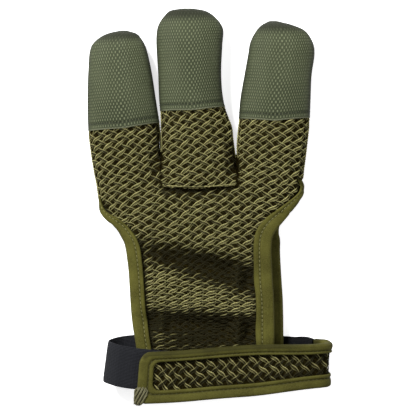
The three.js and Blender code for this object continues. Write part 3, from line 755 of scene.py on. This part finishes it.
def gloveFabric(side, region, part):
    # Places on one part of the glove: its palm below the fingers, or one finger.
    chart = charts[("middle" if part == "palm" else part, side)]

    def point(u, v):
        places, normals = place(chart, u, v)
        x = places[:, 0]
        low, high = reachAt(chart, v)
        shown = (u > low + 0.1) & (u < high - 0.1) & (v > 0.6) & insideOpenings(x, v, side < 0)
        if part == "palm":
            between = (x > seamLeft) & (x < seamRight) & (side > 0)
            shown &= v < np.where(between, seamY(x, 0) + 1.5, branchFrom)
        else:
            finger = fingers[part]
            edge = capEdgeAt(finger, (x - fingerSection(finger, v)[0]) / 17)
            lowest = seamY(x, 0) - 0.1 if region == "middle" else branchFrom - 1.6
            shown &= (v < edge + 1.2) & (v > lowest)
            if part != "ring":
                shown &= x < borderX(-1 if part == "index" else 1, v) - 0.1
            if part != "index":
                shown &= x > borderX(1 if part == "ring" else -1, v) + 0.1
        paintedShade = np.zeros(len(u))
        if side > 0:
            places = places + normals * seamStep(x, v, region)[:, None]
            # Painted shade: darker in the folds, and a painted shadow on the strands just in from
            # each binding.
            left = x - cutAt(v, -1, False) - tapeCover(v, -1) - 1
            right = cutAt(v, 1, False) - tapeCover(v, 1) - 1 - x
            paintedShade = paintedShadeAt(x, v) + 0.7 * bell(left, 0, 1.3) + 0.4 * bell(right, 0, 0.9)
        return places, normals, shown, paintedShade

    return point


groundLevels = (1.15, 1.5)  # its two faces, this far under the surface


def addGround(cloth, chart, vs, ends, top, columns, region="sides"):
    u = np.array([mix(*ends(y), np.linspace(0, 1, columns)) for y in vs])
    v = np.repeat(vs[:, None], columns, axis=1)
    if top is not None:
        x = place(chart, u, v)[0][..., 0]
        v = vs[0] + (v - vs[0]) * (top(x) - vs[0]) / (vs[-1] - vs[0])
    places, normals = place(chart, u, v)
    if chart["side"] > 0:
        places = places + normals * seamStep(places[..., 0], v, region)[..., None]
    # It lies close under the surface where the fabric turns down at a side.
    closer = mix(0.3, 1, smooth(np.abs(normals[..., 2:]), 0.15, 0.6))
    outer, inner = (places - level * closer * normals for level in groundLevels[:: chart["side"]])
    cloth.slab(outer, inner, np.stack([u, v, np.zeros_like(u)], -1))


def openEnds(chart, back, inset=0.5):
    grid, ys = chart["grid"], chart["ys"]

    def ends(y):
        low, high = reachAt(chart, y)
        row = min(int(round(y / chartRow)), len(ys) - 1)
        shown = (grid >= low) & (grid <= high)
        cuts = [float(cutAt(y, side, back)) - side * inset for side in (-1, 1)]
        a, b = np.interp(cuts, chart["x"][row][shown], grid[shown])
        return max(a, low + 0.1), min(b, high - 0.1)

    return ends


def fingerEnds(name, side, inset=0.2):
    chart = charts[(name, side)]

    def ends(y):
        low, high = reachAt(chart, y)
        low, high = low + 0.1, high - 0.1
        a, b = (np.interp(y, chart["ys"], chart["borders"][:, k]) for k in (0, 1))
        if name == "index":
            return low, min(a - inset, high)
        if name == "ring":
            return max(b + inset, low), high
        return max(a + inset, low), min(b - inset, high)

    return ends


def fingerTop(name):
    finger = fingers[name]
    middleY = float(capEdgeAt(finger, 0))

    def top(x):
        cx, half, _ = fingerSection(finger, middleY)
        return capEdgeAt(finger, np.clip((x - cx) / half, -1, 1)) + 1.4

    return middleY, top


# Where the front and the back are joined along each finger: finger, side, from how far up
sideSeams = [("index", -1, 90.5), ("index", 1, 114), ("middle", -1, 114), ("middle", 1, 111),
             ("ring", -1, 111), ("ring", 1, 100.5)]
seamCord = {"radius": 0.34, "twist": 0.3, "pitch": 2.6, "step": 0.45, "inset": 0.45}


def addSideSeams(cloth):
    for name, side, start in sideSeams:
        finger = fingers[name]
        y = np.arange(start, float(capEdgeAt(finger, side)) + 1, seamCord["step"])
        sides = np.array([silhouetteAt(at, name if at > palmLength else None) for at in y])
        x = sides[:, (side + 1) // 2]
        palm = palmSection(y)
        z = np.where(y > palmLength, fingerSection(finger, y)[2] / 2, palm[2] + palm[3] / 2)
        for turn in (0, math.pi):
            angle = 2 * math.pi * y / seamCord["pitch"] + turn
            aside, up = (seamCord["twist"] * f(angle) for f in (np.cos, np.sin))
            path = np.stack([x - side * seamCord["inset"] + aside, y, z + up], -1)
            out = np.tile([float(side), 0.0, 0.0], (len(y), 1))
            # The seam cords get painted shade, a dark line along the fingers' outlines.
            tube(cloth, path, out, seamCord["radius"], 4, shade=0.45 + 0.15 * np.sin(angle / 3))


webTops = ((-1, 117.2), (1, 112.8))  # how far up the fabric joins the fingers, left and right


def makePanel(name, side):
    strands = Cloth()
    parts = ("palm", "index", "ring") if side > 0 else ("palm", *fingers)
    points = [gloveFabric(side, "sides", part) for part in parts]
    addStrands(strands, points, weave, (-74, -32), (74, 150), weave["tilt"] if side > 0 else 0.06)
    if side < 0:
        addSideSeams(strands)
    fabric = strands.make(name + "Cords", [oliveCord])
    ground = Cloth()
    chart = charts[("middle", side)]
    top = None
    if side > 0:  # it ends above the middle finger's seam
        top = lambda x: np.where((x > seamLeft) & (x < seamRight), seamY(x, -1.8), branchFrom)
    addGround(ground, chart, np.linspace(0.3, branchFrom, 44), openEnds(chart, side < 0), top, 110)
    for finger in ("index", "ring") if side > 0 else fingers:
        last, top = fingerTop(finger)
        vs = np.linspace(branchFrom - 1.5, last, 20)
        addGround(ground, charts[(finger, side)], vs, fingerEnds(finger, side), top, 34)
    if side > 0:
        # Dark sheets close the tops of the slits between the fingers: painted shade, so the slits
        # read dark there instead of showing the floor.
        for sign, top in webTops:
            y, a = np.meshgrid(np.linspace(93, top, 14), np.linspace(-2.2, 2.2, 5), indexing="ij")
            level = 9.6 - 1.6 * (y - 98) / (top - 98) - 0.5 * np.abs(a)
            x = borderX(sign, y) + a * (1 - 0.9 * smooth(y, top - 3, top))
            web = np.stack([x, y, level], -1)
            ground.slab(web, web - np.array([0, 0, 0.4]), np.stack([a, y, 0 * a], -1))
    under = ground.make(name + "Ground", [meshGround])
    return fabric, under


frontCords, frontGround = makePanel("front", 1)
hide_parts("front_panel")
print("front panel", len(frontCords.data.polygons))
backCords, backGround = makePanel("back", -1)
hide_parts("back_panel")
print("back panel", len(backCords.data.polygons))


def makeMiddleFront():
    strands = Cloth()
    fabric = gloveFabric(1, "middle", "middle")
    addStrands(strands, [fabric], weave, (-40, 80), (40, 150), weave["tilt"])
    # The folded edge along the seam; its two cords get painted shade, the lower one more, for the
    # crease under the fold.
    x = np.linspace(seamLeft + 0.6, seamRight - 0.6, 70)
    for up, out, dark in ((0.4, -0.6, 0.6), (0.95, -0.15, 0.35)):
        y = seamY(x, 0) + up + 0.1 * np.sin(2.1 * x)
        path, normals = surfaceAt(x, y, 1)
        tube(strands, path + normals * out, normals, 0.25, 5, shade=dark + 0.25 * np.sin(3.1 * x))
    fabric = strands.make("middleFingerCords", [oliveCord])
    ground = Cloth()
    last, top = fingerTop("middle")
    vs = np.linspace(96, last, 24)
    addGround(ground, charts[("middle", 1)], vs, fingerEnds("middle", 1), top, 40, region="middle")
    under = ground.make("middleFingerGround", [meshGround])
    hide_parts("middle_finger_front")
    return fabric


middleCords = makeMiddleFront()
print("middle finger", len(middleCords.data.polygons))


# Fingertip caps

def sectionPoint(finger, y, angle, grow):
    cx, half, depth = fingerSection(finger, y)
    c, s = np.cos(angle), np.sin(angle)
    across = np.sign(c) * np.abs(c) ** (2 / squareness)
    up = np.sign(s) * np.abs(s) ** (2 / squareness)
    half = np.maximum(half + grow, 0.2)
    high = np.maximum(depth / 2 + grow, 0.2)
    z = depth / 2 + np.clip(up * flatShare, -1, 1) * high
    return np.stack([cx + half * across, y, np.maximum(z, 0)], -1)


capLook = {
    "wall": 1.4, "columns": 96, "stitchUp": 3.0, "rowGap": 1.7, "tipRows": 26, "crowding": 1.9,
    # rows up from the cut edge, close together at its roll and at the stitches
    "rise": (0, 0.25, 0.6, 1.0, 1.5, 2.1, 2.55, 2.8, 3.0, 3.2, 3.5, 4.0),
    "insideRise": (0.3, 1, 3, 6, 12, 18), "sidesShade": 0.75, "tipShade": 0.9, "sewnDark": 0.5,
}
capStitch = dict(stitchLook, rises=(-0.12, 0.12, 0.2, 0.12, -0.12), radius=0.22, lowest=0.3)


def closeUp(rings):
    # Draws the last ring together to one place.
    return np.array([*rings, np.broadcast_to(rings[-1].mean(0), rings[-1].shape)])


def makeCap(name, node):
    finger = fingers[name]
    cloth, threads = Cloth(), Cloth()
    tip = palmLength + finger["length"]
    angle = 2 * math.pi * (np.arange(capLook["columns"]) + 0.5) / capLook["columns"]
    acrossAt = np.sign(np.cos(angle)) * np.abs(np.cos(angle)) ** (2 / squareness)
    edge = capEdgeAt(finger, acrossAt)
    rise = np.concatenate([capLook["rise"], 4.8 + np.arange(1, 20) * capLook["rowGap"]])
    rise = rise[rise < 0.7 * (tip - edge.max())]
    crowd = 1 - (1 - np.linspace(0, 1, capLook["tipRows"])[1:]) ** capLook["crowding"]
    last = rise[-1]
    roll = -0.2 * bell(rise, 0, 0.2) + 0.12 * bell(rise, 0.6, 0.4)
    swell = roll - 0.22 * bell(rise, capLook["stitchUp"], 0.3)
    outer = [sectionPoint(finger, edge + r, angle, s) for r, s in zip(rise, swell)]
    outer += [sectionPoint(finger, mix(edge + last, tip, c), angle, 0.0) for c in crowd]
    outer = closeUp(outer)
    halfTurn = np.where(angle < math.pi, math.pi / 2 - angle, angle - 3 * math.pi / 2)
    girth = np.linalg.norm(np.diff(outer, axis=1, append=outer[:, :1]), axis=2).sum(1)
    u = halfTurn / math.pi * girth[:, None]
    ups = np.concatenate([rise, last + crowd * (tip - last - edge.mean())])
    ups = np.append(ups, ups[-1] + 0.4)[:, None] * np.ones_like(u)
    # Lighter at the cut edge and darker along the stitched line; painted shade darkens it down the
    # sides and over the tip
    sides = capLook["sidesShade"] * (1 - smooth(np.abs(np.sin(angle)), 0.12, 0.6))
    tips = capLook["tipShade"] * smooth(ups, 0.82 * ups.max(), 0.93 * ups.max())
    sewn = capLook["sewnDark"] * bell(ups, capLook["stitchUp"], 0.6)
    dark = np.maximum(np.maximum(sides, tips), sewn)
    marks = np.stack([u, ups, 1 - smooth(ups, 0.2, 0.5) - dark], -1)
    cloth.grid(outer, marks, 0, wrap=True, flip=True)
    wall, deepest = capLook["wall"], capLook["insideRise"][-1]
    inside = [sectionPoint(finger, edge + r, angle, -wall) for r in capLook["insideRise"]]
    for c in crowd[::3]:
        y = np.minimum(mix(edge + deepest, tip, c), tip)
        inside.append(sectionPoint(finger, y, angle, -wall) - np.array([0, 1.6 * c, 0]))
    lip = sectionPoint(finger, edge - 0.1, angle, -wall / 2)
    inside = np.array([outer[0], lip, *closeUp(inside)])
    insideMarks = np.zeros(inside.shape)
    insideMarks[..., 0] = angle * 6
    cloth.grid(inside, insideMarks, 0, wrap=True)
    around = sectionPoint(finger, edge + capLook["stitchUp"], angle, -0.15)
    addStitches(threads, np.vstack([around, around[:1]]), None, capStitch)
    cap = cloth.make(name + "Cap", [capCanvas])
    stitches = threads.make(name + "CapStitches", [capThread])
    sewTo(stitches, cap)
    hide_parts(node)
    return cap


for fingerName in fingers:
    made = makeCap(fingerName, fingerName + "_cap")
    print("cap", fingerName, len(made.data.polygons))


# Side bindings

tapeLook = {"stations": 120, "groove": 0.63, "start": 2.2}
sideStitch = dict(stitchLook, rises=(-0.15, 0.1, 0.2, 0.1, -0.15), radius=0.21)
# in from the edge as a share of the width (negative rounds the fold), height off the panel
foldOuter = [
    (1.0, 0.3), (0.99, 0.75), (0.94, 1.02), (0.85, 1.12), (0.74, 1.05), (0.665, 0.88), (0.63, 0.72),
    (0.595, 0.88), (0.53, 1.12), (0.42, 1.26), (0.28, 1.35), (0.14, 1.42), (0.04, 1.38),
]
foldRound = [
    (-0.5, 1.25), (-0.95, 0.85), (-1.25, 0.2), (-1.35, -0.8), (-1.25, -1.8), (-0.95, -2.45),
    (-0.5, -2.8),
]
foldInner = [
    (0.1, -2.9), (0.5, -2.9), (1.0, -2.8), (1.0, -1.95), (0.3, -1.9), (-0.03, -1.5), (-0.03, 0.0),
    (0.3, 0.28),
]


# Painted shade down in the stitched groove
def grooveShade(share, middle, spread=0.045):
    return 0.7 * bell(share, middle, spread)


def sideFold(cloth, threads, rows, side, width, back):
    edge = sideEdge(rows, side, back, tapeLook["stations"])
    if side < 0:  # this one starts thin, a little higher, under the finger's fabric
        edge = np.vstack([edge[0] + np.outer([2.4, 1.6, 0.8], unit(edge[0] - edge[1])), edge])
    heading = unit(np.gradient(edge, axis=0))
    inward = np.stack([side * heading[:, 1], -side * heading[:, 0]], -1)
    if inward[len(edge) // 2, 0] * side > 0:
        inward = -inward
    t = np.linspace(0, 1, len(edge))
    wide = mix(tapeLook["start"], width, smooth(t, 0, 0.3)) - tapeStep
    face = -1 if back else 1
    rings, marks = [], []

    def inFrom(distance):
        return surfaceAt(*(edge + inward * distance).T, face)

    base, normal = inFrom(0)
    outward = unit(base - inFrom(0.5)[0])
    length = lengthsOf(base)
    full = mix(0.08, 1, smooth(t, 0, 0.085)) if side < 0 else np.ones(len(edge))
    for d, height in [*foldOuter, *foldRound, *foldInner]:
        if d < 0:
            distance, height = d * full, height * full
            point = base - outward * distance[:, None] + normal * height[:, None]
        else:
            height = mix(0.3, height, full) if height > 0 else height
            distance = d * wide
            spot, up = inFrom(distance[:, None])
            point = spot + up * np.broadcast_to(height, len(edge))[:, None]
        point[:, 2] = np.maximum(point[:, 2], 0)
        rings.append(point)
        dark = grooveShade(distance / wide, tapeLook["groove"]) if np.max(height) > 0 else 0 * t
        marks.append(np.stack([distance, length, dark], -1))
    cloth.grid(np.stack(rings, 1), np.stack(marks, 1), 0, wrap=True, flip=(side > 0) == back)
    groove, up = inFrom(tapeLook["groove"] * wide[:, None])
    addStitches(threads, groove + up * 0.78, up, sideStitch, 3.0)


def makeSideTape(name, node, rows, side, width):
    cloth, threads = Cloth(), Cloth()
    for back in (False, True):
        sideFold(cloth, threads, rows, side, width, back)
    tape = cloth.make(name, [bindingTape])
    stitches = threads.make(name + "Stitches", [oliveThread])
    sewTo(stitches, tape)
    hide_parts(node)


makeSideTape("leftSideTape", "left_opening_binding", leftEdgeRows, -1, 7.3)
makeSideTape("rightSideTape", "right_opening_binding", rightEdgeRows, 1, 9)
print("side tapes")


# Wrist strap and elastic follow routes round the wrist.
strapWidth, strapFoldWidth, strapWall, strapTapeWidth, strapCorner = 25.2, 21.8, 2.2, 5.5, 4.6
elasticWidth, elasticLean, strapLean = 20, 0.13, 0.05
loopLeft, loopRight, strapReach, strapTurnBack, elasticReach, joinLap = 46.6, 66.4, 30.6, 19, 10, 10
panelTop = wristLift + wristDepth
elasticTop = panelTop + tapeStep + elasticWall / 2
strapHalf = strapWall / 2 + tapeStep
strapStartZ = elasticTop + elasticWall / 2 + gap + strapHalf
strapRestZ = panelTop + tapeStep + strapHalf
loopHeight = (strapRestZ + strapHalf) / 2
strapFoldX = loopRight - strapHalf
elasticFoldX = elasticWall / 2 - loopLeft
strapEndX = loopRight - strapTurnBack
freeEndY, foldY, sewnY, elasticY = (strapWidth * k for k in (0.1, 0.33, 0.44, 0.47))


def makeRoute(knots):
    knots = np.array(knots, float)
    ends = np.vstack([2 * knots[0] - knots[1], knots, 2 * knots[-1] - knots[-2]])
    dense = []
    t = np.linspace(0, 1, 120, endpoint=False)[:, None]
    for i in range(len(knots) - 1):
        p0, p1, p2, p3 = ends[i : i + 4]
        d0, d1, d2 = (np.linalg.norm(b - a) ** 0.5 for a, b in ((p0, p1), (p1, p2), (p2, p3)))
        m1 = ((p1 - p0) / d0 - (p2 - p0) / (d0 + d1) + (p2 - p1) / d1) * d1
        m2 = ((p2 - p1) / d1 - (p3 - p1) / (d1 + d2) + (p3 - p2) / d2) * d1
        squared, cubed = -3 * p1 + 3 * p2 - 2 * m1 - m2, 2 * p1 - 2 * p2 + m1 + m2
        dense.append(p1 + m1 * t + squared * t**2 + cubed * t**3)
    dense = np.vstack([*dense, knots[-1:]])
    length = lengthsOf(dense)
    heading = np.gradient(dense, axis=0)
    heading[:, 1] = 0
    return {"points": dense, "at": length, "heading": unit(heading), "length": length[-1]}


def onBand(route, lean, along, across, off):
    along, across, off = np.broadcast_arrays(*(np.asarray(a, float) for a in (along, across, off)))
    point = readLine(along, route["at"], route["points"])
    head = unit(readLine(along, route["at"], route["heading"]))
    out = np.stack([-head[..., 2], np.zeros(along.shape), head[..., 0]], -1)
    point = point + out * off[..., None]
    point[..., 0] += lean * across
    point[..., 1] += across
    point[..., 2] = np.maximum(point[..., 2], 0)
    return point, out


strapRoute = makeRoute([
    (-strapReach, freeEndY, strapStartZ),
    (-strapReach * 0.35, mix(freeEndY, foldY, 0.15), strapStartZ),
    (palmWidth * 0.12, mix(freeEndY, foldY, 0.46), strapRestZ + gap),
    (palmWidth * 0.36, mix(freeEndY, foldY, 0.76), strapRestZ),
    (strapFoldX - loopHeight * 0.75, mix(freeEndY, foldY, 0.95), strapRestZ - loopHeight * 0.15),
    (strapFoldX - loopHeight * 0.13, foldY, mix(loopHeight, strapRestZ, 0.5)),
    (strapFoldX, foldY, loopHeight),
    (strapFoldX - loopHeight * 0.13, mix(foldY, sewnY, 0.3), mix(loopHeight, strapHalf, 0.6)),
    (strapFoldX - loopHeight * 0.6, mix(foldY, sewnY, 0.7), strapHalf),
    (strapEndX + joinLap * 0.8, sewnY, strapWall / 2 + gap),
    (strapEndX, sewnY, strapWall / 2),
])
strapLength = strapRoute["length"]
sewnOff = -strapWall / 2 - 1.6 * gap - elasticWall / 2
elasticRoute = makeRoute([
    *[onBand(strapRoute, 0, strapLength - s, 0, sewnOff)[0] for s in (joinLap, joinLap / 2, 0)],
    (strapEndX - 0.8, sewnY, strapWall / 2 - sewnOff),
    (palmWidth * 0.405, sewnY, elasticWall / 2),
    (palmWidth * 0.3, mix(sewnY, elasticY, 0.5), elasticWall / 2),
    (-palmWidth * 0.3, elasticY, elasticWall / 2),
    (elasticFoldX + elasticTop * 0.3, elasticY * 0.93, elasticTop * 0.12),
    (elasticFoldX, elasticY * 0.82, elasticTop / 2),
    (elasticFoldX + elasticTop * 0.3, elasticY * 0.72, elasticTop * 0.93),
    (-palmWidth * 0.33, elasticY * 0.62, elasticTop),
    (-elasticReach, elasticY * 0.42, elasticTop),
])


def onStrap(along, across, off):
    return onBand(strapRoute, strapLean, along, across, off)


def coreHalf(s):
    return mix(strapWidth, strapFoldWidth, smooth(s / strapLength, 0.45, 0.75)) / 2 - tapeStep


# Its strands sloping the other way get more painted shade.
strapWeave = dict(weave, across=5.2, along=5.4, under=0.5)
# widths of the binding's top face at the free end and along the two edges
strapFrame = {"end": 7.3, "upper": 3.6, "lower": 5.2, "windowCorner": 3.4}
# along the strap: where the painted shade along the lower edge sets in, where the painted
# shade grows toward the fold, where the core comes up under the strands for the fold, and where it
# has turned round
strapStations = {"shade": (22, 40), "darker": (66, 92), "raised": (90, 96), "turned": (102, 107)}


def makeStrapMesh():
    def point(u, w):
        places, out = onStrap(u, w, strapWall / 2)
        above, below = coreHalf(u) - strapFrame["upper"] - w, w + coreHalf(u) - strapFrame["lower"]
        inside = (u > tapeStep + strapFrame["end"] - 0.9) & (u < strapLength - 1)
        inside &= (above > -0.9) & (below > -0.9)
        # Painted shade on the strap's strands: a little all over, more toward the fold and beside
        # both bindings.
        dark = 0.1 + 0.2 * smooth(u, *strapStations["darker"]) + 0.3 * bell(above, 0, 0.8)
        dark = dark + 0.7 * bell(below, 0, 1.5) * smooth(u, *strapStations["shade"])
        return places, out, inside, dark

    strands = Cloth()
    # The strands that lie on top slope down to the right here, so v runs the other way.
    addStrands(strands, [lambda u, v: point(u, -v)], strapWeave, (0, -16), (strapLength, 16))
    fabric = strands.make("strapCords", [oliveCord])
    s = np.linspace(tapeStep, strapLength, 130)
    w = np.linspace(-1, 1, 9)
    along, across = np.meshgrid(s, w, indexing="ij")
    into = strapCorner - np.minimum(along - tapeStep, strapCorner)
    half = coreHalf(along) - strapCorner + np.sqrt(np.maximum(strapCorner**2 - into**2, 0))
    ground = Cloth()
    marks = np.stack([along, across * half, np.zeros_like(along)], -1)
    raised = mix(-0.1, strapWall / 2 - 0.8, smooth(along, *strapStations["raised"]))
    upper, _ = onStrap(along, across * half, raised)
    lower, _ = onStrap(along, across * half, -strapWall / 2)
    ground.slab(lower, upper, marks, (1, 0))
    core = ground.make("strapGround", [meshGround, blackLoop])
    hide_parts("wrist_strap")
    return fabric


strapCords = makeStrapMesh()
print("strap", len(strapCords.data.polygons))

# share of the way in from the rim (below 0: millimetres out), height off the strap's middle
strapTapeSection = [
    (1.0, 1.42), (0.99, 1.75), (0.94, 2.06), (0.84, 2.2), (0.72, 2.08), (0.65, 1.82), (0.61, 1.6),
    (0.57, 1.84), (0.46, 2.2), (0.22, 2.42), (0.04, 2.44), (-0.35, 2.36), (-0.75, 2.15),
    (-1.12, 1.65), (-1.3, 0.8), (-1.34, 0),
]


strapGroove = 0.61
strapStitch = dict(stitchLook, spots=(0.25, 0.36, 0.5, 0.64, 0.75),
                   rises=(-0.15, 0.08, 0.15, 0.08, -0.15), radius=0.17)


def strapRims():
    # The binding's outer rim and the window's rim, point for point, round the free end
    tapeEnd = strapLength - joinLap - 1.5
    outer, window = [], []

    def corner(radius, end, side, edge, angle):
        sine, cosine = math.sin(angle), math.cos(angle)
        return (tapeStep + end + radius * (1 - sine), side * (edge - radius * (1 - cosine)),
                sine, -side * cosine)

    half = float(coreHalf(0))
    turns = np.arange(1, 13) * math.pi / 2 / 12
    starts = tapeStep + strapCorner, tapeStep + strapFrame["end"] + strapFrame["windowCorner"]
    for side, wide in ((1, strapFrame["upper"]), (-1, strapFrame["lower"])):
        run = []
        for k in np.linspace(1, 0, 110):
            s, inner = (mix(start, tapeEnd, k) for start in starts)
            run.append(((s, side * float(coreHalf(s)), 0.0, -side),
                        (inner, side * (float(coreHalf(inner)) - wide))))
        for a in turns:
            hole = corner(strapFrame["windowCorner"], strapFrame["end"], side, half - wide, a)
            run.append((corner(strapCorner, 0, side, half, a), hole[:2]))
        for rim, hole in run if side > 0 else run[::-1]:
            outer.append(rim)
            window.append(hole)
    outer = np.array(outer)
    outer[:, 0] += 1.3 * smooth(outer[:, 1], -9.5, -5) * (1 - smooth(outer[:, 0], 1.3, 8))
    return outer, np.array(window)


def makeStrapTape():
    inner = strapWall / 2 + gap
    outerRim, window = strapRims()
    s, w, inS, inW = outerRim.T
    under = [(d, -t) for d, t in strapTapeSection[-2::-1]]
    closing = [(1.0, -inner), (-gap, -inner), (-gap, inner), (1.0, inner)]
    run = lengthsOf(onStrap(s, w, 0)[0])
    slim = mix(0.3, 1, smooth(s.max() - s, 0, 6))

    def across(d):
        if d < 0:
            return s + d * inS * slim, w + d * inW * slim
        return mix(s, window[:, 0], d), mix(w, window[:, 1], d)

    rings, marks = [], []
    # Painted shade on the strap's binding: in the groove on its top face, a painted shadow on the
    # upper side's outer slope, and darker past the fold.
    upperSide, turned = smooth(w, 9, 10.5), smooth(s, *strapStations["turned"])
    for d, t in [*strapTapeSection, *under, *closing]:
        rings.append(onStrap(*across(d), t)[0])
        dark = grooveShade(d, strapGroove) + 0.55 * upperSide * (d < 0.12)
        dark = dark * (t > 0.5) + 0.1 + 0.5 * turned
        marks.append(np.stack([np.full(len(s), d), run, dark * np.ones(len(s))], -1))
    cloth, threads = Cloth(), Cloth()
    cloth.grid(np.stack(rings, 1), np.stack(marks, 1), 0, wrap=True)
    for face in (1, -1):
        groove, up = onStrap(*across(strapGroove), face * 1.64)
        addStitches(threads, groove, up * face, strapStitch)
    tape = cloth.make("strapTape", [bindingTape])
    stitches = threads.make("strapTapeStitches", [darkThread])
    sewTo(stitches, tape)
    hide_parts("strap_binding")
    return tape


strapTape = makeStrapTape()

# The bar tack that closes the binding at the strap's lower corner
tack = {"place": (2.2, -8.6), "long": 5.3, "wide": 3.9, "lean": 62, "pitch": 0.78, "height": 2.3,
        "corner": (3.2, -8.8, 4.7)}


def makeTack():
    angle = math.radians(tack["lean"])
    cosine, sine = math.cos(angle), math.sin(angle)

    def spot(a, b, lift):
        # a runs along the stitches and b across them, both from -1 to 1
        a, b = np.broadcast_arrays(a, b)
        s = tack["place"][0] + a * tack["long"] * cosine + b * tack["wide"] * sine
        w = tack["place"][1] + a * tack["long"] * sine - b * tack["wide"] * cosine
        cs, cw, radius = tack["corner"]
        away = np.hypot(np.minimum(s - cs, 0), np.minimum(w - cw, 0))
        near = np.minimum(1, radius / np.maximum(away, 0.1))
        s, w = np.where(s < cs, cs + (s - cs) * near, s), np.where(w < cw, cw + (w - cw) * near, w)
        dome = tack["height"] + 0.55 * (1 - a * a - b * b) + lift
        half = strapWidth / 2
        edge = np.maximum(smooth(-s, 0.2, 1.8), smooth(-w, half - 0.9, half + 1.1))
        return onStrap(s, w, dome - 1.5 * edge**2)

    cloth = Cloth()
    turn = np.linspace(0, 2 * math.pi, 33)[:-1]
    radius = np.linspace(0.02, 1, 7)[:, None]
    pad, _ = spot(radius * np.cos(turn), radius * np.sin(turn), -0.2)
    below, _ = spot(radius[::-1] * np.cos(turn), radius[::-1] * np.sin(turn), -1.6)
    rings = np.concatenate([pad, below])
    cloth.grid(rings, np.zeros(rings.shape), 0, wrap=True)
    count = int(2 * tack["wide"] / tack["pitch"])
    for k in range(1, count):
        b = 2 * k / count - 1
        a = np.linspace(-1, 1, 9) * math.sqrt(max(1 - b * b, 0.05)) * (1 + 0.05 * (-1) ** k)
        zig = 0.09 * np.sin(np.linspace(0, math.pi, 9)) * (-1) ** k
        path, out = spot(a, b + zig, 0.12 + 0.1 * (k % 2))
        path = path - out * (np.abs(np.linspace(-1, 1, 9)) ** 6 * 0.5)[:, None]
        tube(cloth, path, out, 0.44, 6)
    knot = cloth.make("strapTack", [greyThread])
    sewTo(knot, strapTape)


makeTack()


elasticLook = {"rib": 0.07, "pitch": 1.4, "step": 0.35, "dark": 0.8, "joinShade": (15, 25)}


def makeElastic():
    s = np.arange(0, elasticRoute["length"], elasticLook["step"])
    w = np.linspace(-elasticWidth / 2, elasticWidth / 2, 13)
    along, across = np.meshgrid(s, w, indexing="ij")
    rib = elasticLook["rib"] * np.cos(2 * math.pi * along / elasticLook["pitch"])
    half = elasticWall / 2 - elasticLook["rib"] + rib
    half[:, [0, -1]] *= 0.55
    outer, _ = onBand(elasticRoute, elasticLean, along, across, half)
    inner, _ = onBand(elasticRoute, elasticLean, along, across, -half)
    # Painted shade on the elastic where it runs in under the strap near the join.
    dark = elasticLook["dark"] * (1 - smooth(along, *elasticLook["joinShade"]))
    marks = np.stack([across, along, dark], -1)
    cloth = Cloth()
    cloth.slab(inner, outer, marks)
    band = cloth.make("elasticBand", [navyElastic])
    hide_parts("elastic_band")


makeElastic()


hookLook = {"size": 12, "pitch": 0.9, "radius": 0.09,
            "steps": (0, 0, 0.12, 0.3), "rises": (0.5, 0.2, 0.03, 0.12)}


def makeHookPatch():
    start, half = strapTapeWidth + 2 * gap, hookLook["size"] / 2
    s = np.linspace(start, start + hookLook["size"], 9)
    along, across = np.meshgrid(s, np.linspace(-half, half, 9), indexing="ij")
    low = elasticTop + elasticWall / 2 + gap - strapStartZ
    upper, _ = onStrap(along, across, -strapWall / 2 - gap)
    lower, _ = onStrap(along, across, low + 0.45)
    cloth = Cloth()
    cloth.slab(lower, upper, np.stack([along, across, np.zeros_like(along)], -1))
    steps, rises = np.array(hookLook["steps"]), np.array(hookLook["rises"])
    for a in np.arange(start + 0.6, start + 2 * half - 0.2, hookLook["pitch"]):
        for b in np.arange(0.5 - half, half - 0.4, hookLook["pitch"]):
            path, _ = onStrap(a + steps, b, low + rises)
            tube(cloth, path, np.tile([0.0, 1.0, 0.0], (4, 1)), hookLook["radius"], 3)
    patch = cloth.make("hookTape", [blackLoop])
    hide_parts("hook_patch")


makeHookPatch()
print("strap parts")


# Floor, light and camera

def makeFloor():
    mesh = bpy.data.meshes.new("floor")
    r = 3.0
    mesh.from_pydata([(-r, -r, 0), (r, -r, 0), (r, r, 0), (-r, r, 0)], [], [(0, 1, 2, 3)])
    floor = bpy.data.objects.new("floor", mesh)
    bpy.context.scene.collection.objects.link(floor)
    look = Look("paleFloor", 0.9)
    # Seen by the camera the floor is nearly white, also in the narrow slits.
    seen = look.tree.nodes.new("ShaderNodeLightPath").outputs["Is Camera Ray"]
    look.fill(look.shader, {
        "Base Color": look.blend(look.fibre(300.0), (0.9, 0.9, 0.9), (0.93, 0.93, 0.93)),
        "Emission Color": look.blend(seen, (0, 0, 0), (0.68, 0.68, 0.68)),
        "Emission Strength": 1.0})
    mesh.materials.append(look.material)
    floor.location.z = -0.0002


def addLight(name, at, size, power):
    light = bpy.data.lights.new(name, "AREA")
    light.shape, light.size, light.energy = "DISK", size, power
    lamp = bpy.data.objects.new(name, light)
    lamp.location = at
    lamp.rotation_mode = "QUATERNION"
    lamp.rotation_quaternion = (-Vector(at)).to_track_quat("-Z", "Y")
    bpy.context.scene.collection.objects.link(lamp)


makeFloor()
addLight("keyLight", (-0.46, 0.6, 0.66), 0.32, 18.5)
addLight("fillLight", (0.62, -0.1, 0.8), 0.7, 2.8)
world = bpy.data.worlds.new("studio")
bpy.context.scene.world = world
world.use_nodes = True
world.node_tree.nodes["Background"].inputs["Color"].default_value = (1, 1, 1, 1)
world.node_tree.nodes["Background"].inputs["Strength"].default_value = 0.27
bpy.context.scene.view_settings.view_transform = "Standard"

view = bpy.data.cameras.new("view")
view.lens, view.sensor_width = 102.46, 36
view.clip_start, view.clip_end = 0.05, 10
camera = bpy.data.objects.new("view", view)
camera.location = (-0.001062, -0.002328, 0.6)
bpy.context.scene.collection.objects.link(camera)
bpy.context.scene.camera = camera
